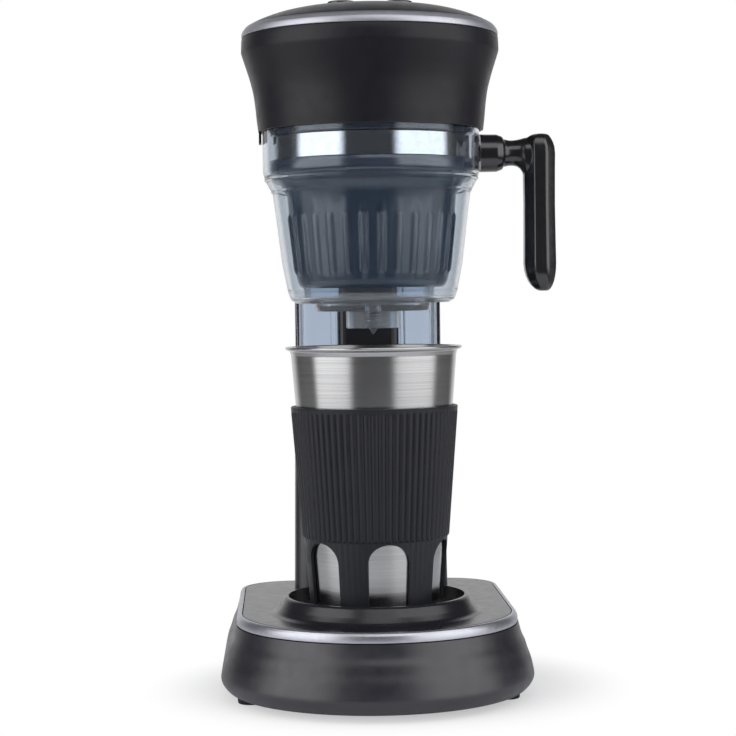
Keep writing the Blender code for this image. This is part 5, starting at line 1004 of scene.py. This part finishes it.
mug_section = eased([
    (mug_reach(48.2) - 1.2, 48.2), (40.05, mug_shoulder), (40.05, 174.9, 0.4),
    (40.65, 175.5, 0.5), (43.9, 175.5, 0.3), (44.2, 174.9, 0.4), (43.8, 174.1, 0.4),
    (41.9, 173.4, 1.0), (41.3, 171.2, 1.0), (mug_reach(49), 49, 0.8), (30.2, mug_foot, 0.8)])
mug_wall = turned("mug_wall", mug_section + [(0.4, mug_foot), (0.4, 48.2)])
dressed(mug_wall, "mug", brushed, "brushed_steel", "mug_outer")
liner_section = eased([(mug_reach(53) - 5.6, 53.9, 1.0), (mug_reach(60) - 4.7, 57, 1.0),
                       (mug_reach(167.5) - 4.7, 167.5, 2.0), (38.85, mug_shoulder, 1.0), (38.85, 175.2),
                       (39.75, 175.2), (39.75, 171.05), (mug_reach(167.5) - 3.8, 167.5, 1.0),
                       (mug_reach(57) - 3.8, 57, 1.0), (mug_reach(53) - 5.6, 53.0)])
mug_liner = turned("mug_liner", liner_section + [(0.4, 53.0), (0.4, 53.9)])
dressed(mug_liner, "mug", brushed, "brushed_steel", "mug_inner")


# Sleeve: a black rubber grip stretched over the mug, with seventy-two upright ribs above and
# six arched windows below that let the steel show. The mug's foot is a rubber pad.
sleeve_rubber = rubber_skin("sleeve_rubber", tone(17, 18, 26), tone(23, 24, 33), rough=0.50)
sleeve_ribs, rib_fineness, sleeve_gap, sleeve_stand = 72, 10, 0.3, 1.6


def sleeve_row(z, stand, rise=0.0):
    """The sleeve's outline at a height, standing off the mug, with ribs raised by rise."""
    row = []
    for i in range(sleeve_ribs * rib_fineness):
        turn = 2 * pi * i / (sleeve_ribs * rib_fineness)
        wave = 0.5 - 0.5 * cos(2 * pi * (i % rib_fineness) / rib_fineness)
        out = mug_reach(z) + sleeve_gap + stand + rise * wave ** 0.4
        row.append((out * cos(turn), out * sin(turn), z))
    return row


sleeve_foot, sleeve_top = 48.0, 145.7
sleeve_levels = [(sleeve_foot, 0), (sleeve_top, 0), (sleeve_top, 1.9), (145.3, 2.3), (143.6, 2.3),
                 (143.0, sleeve_stand, 0.7), (142.2, sleeve_stand, 0.8),
                 (81.8, sleeve_stand, 0.8), (81.0, sleeve_stand, 0.6), (80.4, sleeve_stand),
                 (48.4, sleeve_stand), (sleeve_foot, 1.2)]
sleeve = skin_over("ribbed_sleeve", [sleeve_row(*level) for level in sleeve_levels],
                   closed=True, sharp=45)
windows, first_window, window_half, window_top = 6, radians(8.2), radians(17.5), 79.5


def arch_tool(number, steps=28, foot=44.0):
    """One arched window, cut from the axis outward and open at the sleeve's foot."""
    turn = -pi / 2 + first_window + 2 * pi * number / windows
    out, side = (cos(turn), sin(turn)), (-sin(turn), cos(turn))
    bend = mug_reach(window_top) * sin(window_half)
    arch = [(1, foot)] + [(cos(pi * i / steps), window_top - bend + bend * sin(pi * i / steps))
                          for i in range(steps + 1)] + [(-1, foot)]
    rows = []
    for reach in (25, 52):
        wide, far = reach * sin(window_half), reach * cos(window_half)
        rows.append([(out[0] * far + side[0] * wide * x, out[1] * far + side[1] * wide * x, z)
                     for x, z in arch])
    return skin_over("arch", rows, capped=True)


sleeve = cut_out(sleeve, *[arch_tool(number) for number in range(windows)])
dressed(sleeve, "mug", sleeve_rubber, "rubber", "mug_sleeve")
carried("mug_base_pad", black_rubber)


# Grinder: a twisted two-wing blade on its shaft, locked by a nut, under a small can motor in
# a black mount. They are steel; the bush that seals the shaft is silicone.
motor_can = machined_steel("motor_can", tone(178, 178, 180), smooth=0.3, rough=0.45)
for name in ("blade_shaft", "blade", "blade_nut"):
    carried(name, pin_steel)
carried("motor", motor_can)
carried("motor_mount", piano_black)
carried("shaft_bush", silicone_skin)


# Water works in the base: a cast heater block with its thermostat, the control board, the hose
# from the tank and the riser tube that climbs the spine.
def cast_metal(name, light):
    """Die-cast aluminium: dull, pitted and uneven."""
    made, nodes, links, skin = finish(name, light, 0.5, metallic=1.0)
    pits = noise_field(nodes, links, 0.8, 6)
    darker = tuple(c * 0.72 for c in light)
    links.new(two_tones(nodes, links, pits, darker, light), skin.inputs["Base Color"])
    links.new(spread_between(nodes, links, pits, 0.4, 0.6), skin.inputs["Roughness"])
    press_in(nodes, links, skin, pits, 0.12, 0.6)
    return made


def board_lacquer(name):
    """Green board lacquer over a weave of copper tracks."""
    made, nodes, links, skin = finish(name, (0.02, 0.13, 0.05), 0.4)
    place = nodes.new("ShaderNodeTexCoord")
    tracks = nodes.new("ShaderNodeTexBrick")
    tracks.inputs["Scale"].default_value = 260
    tracks.inputs["Color1"].default_value = (0.02, 0.13, 0.05, 1)
    tracks.inputs["Color2"].default_value = (0.03, 0.17, 0.07, 1)
    tracks.inputs["Mortar"].default_value = (0.05, 0.24, 0.09, 1)
    links.new(place.outputs["Object"], tracks.inputs["Vector"])
    links.new(tracks.outputs["Color"], skin.inputs["Base Color"])
    press_in(nodes, links, skin, tracks.outputs["Fac"], 0.04, 0.5)
    return made


carried("boiler_block", cast_metal("cast_aluminium", tone(205, 206, 208)))
carried("thermostat", screw_steel)
carried("control_board", board_lacquer("board_lacquer"))
riser_radius, hose_radius = 2.5, 3.2
riser_pipe = tube_along("riser_pipe", curve_through([
    (23.5, 81, 26.6), (23.5, 81, 36.6), (23.5, 81, 52.5), (7, 66.5, 100), (7, 66.5, 120),
    (7, 66.5, 201.3), (7, 66.5, 292.5), (7, 61.5, 302.5), (7, 48.3, 305), (17, 32.5, 302.5),
    (17, 30, 294.6), (17, 30, 289.9)], 6), riser_radius, 20)
dressed(riser_pipe, "machine", silicone_skin, "silicone", "riser_tube")
feed_hose = tube_along("feed_hose", curve_through([
    (27, 95, 111), (27, 95, 98.2), (0, 95, 76.8), (-23.5, 81, 48.9), (-23.5, 81, 32.7),
    (-23.5, 81, 26.6)], 8), hose_radius, 24)
dressed(feed_hose, "machine", silicone_skin, "silicone", "water_hose")
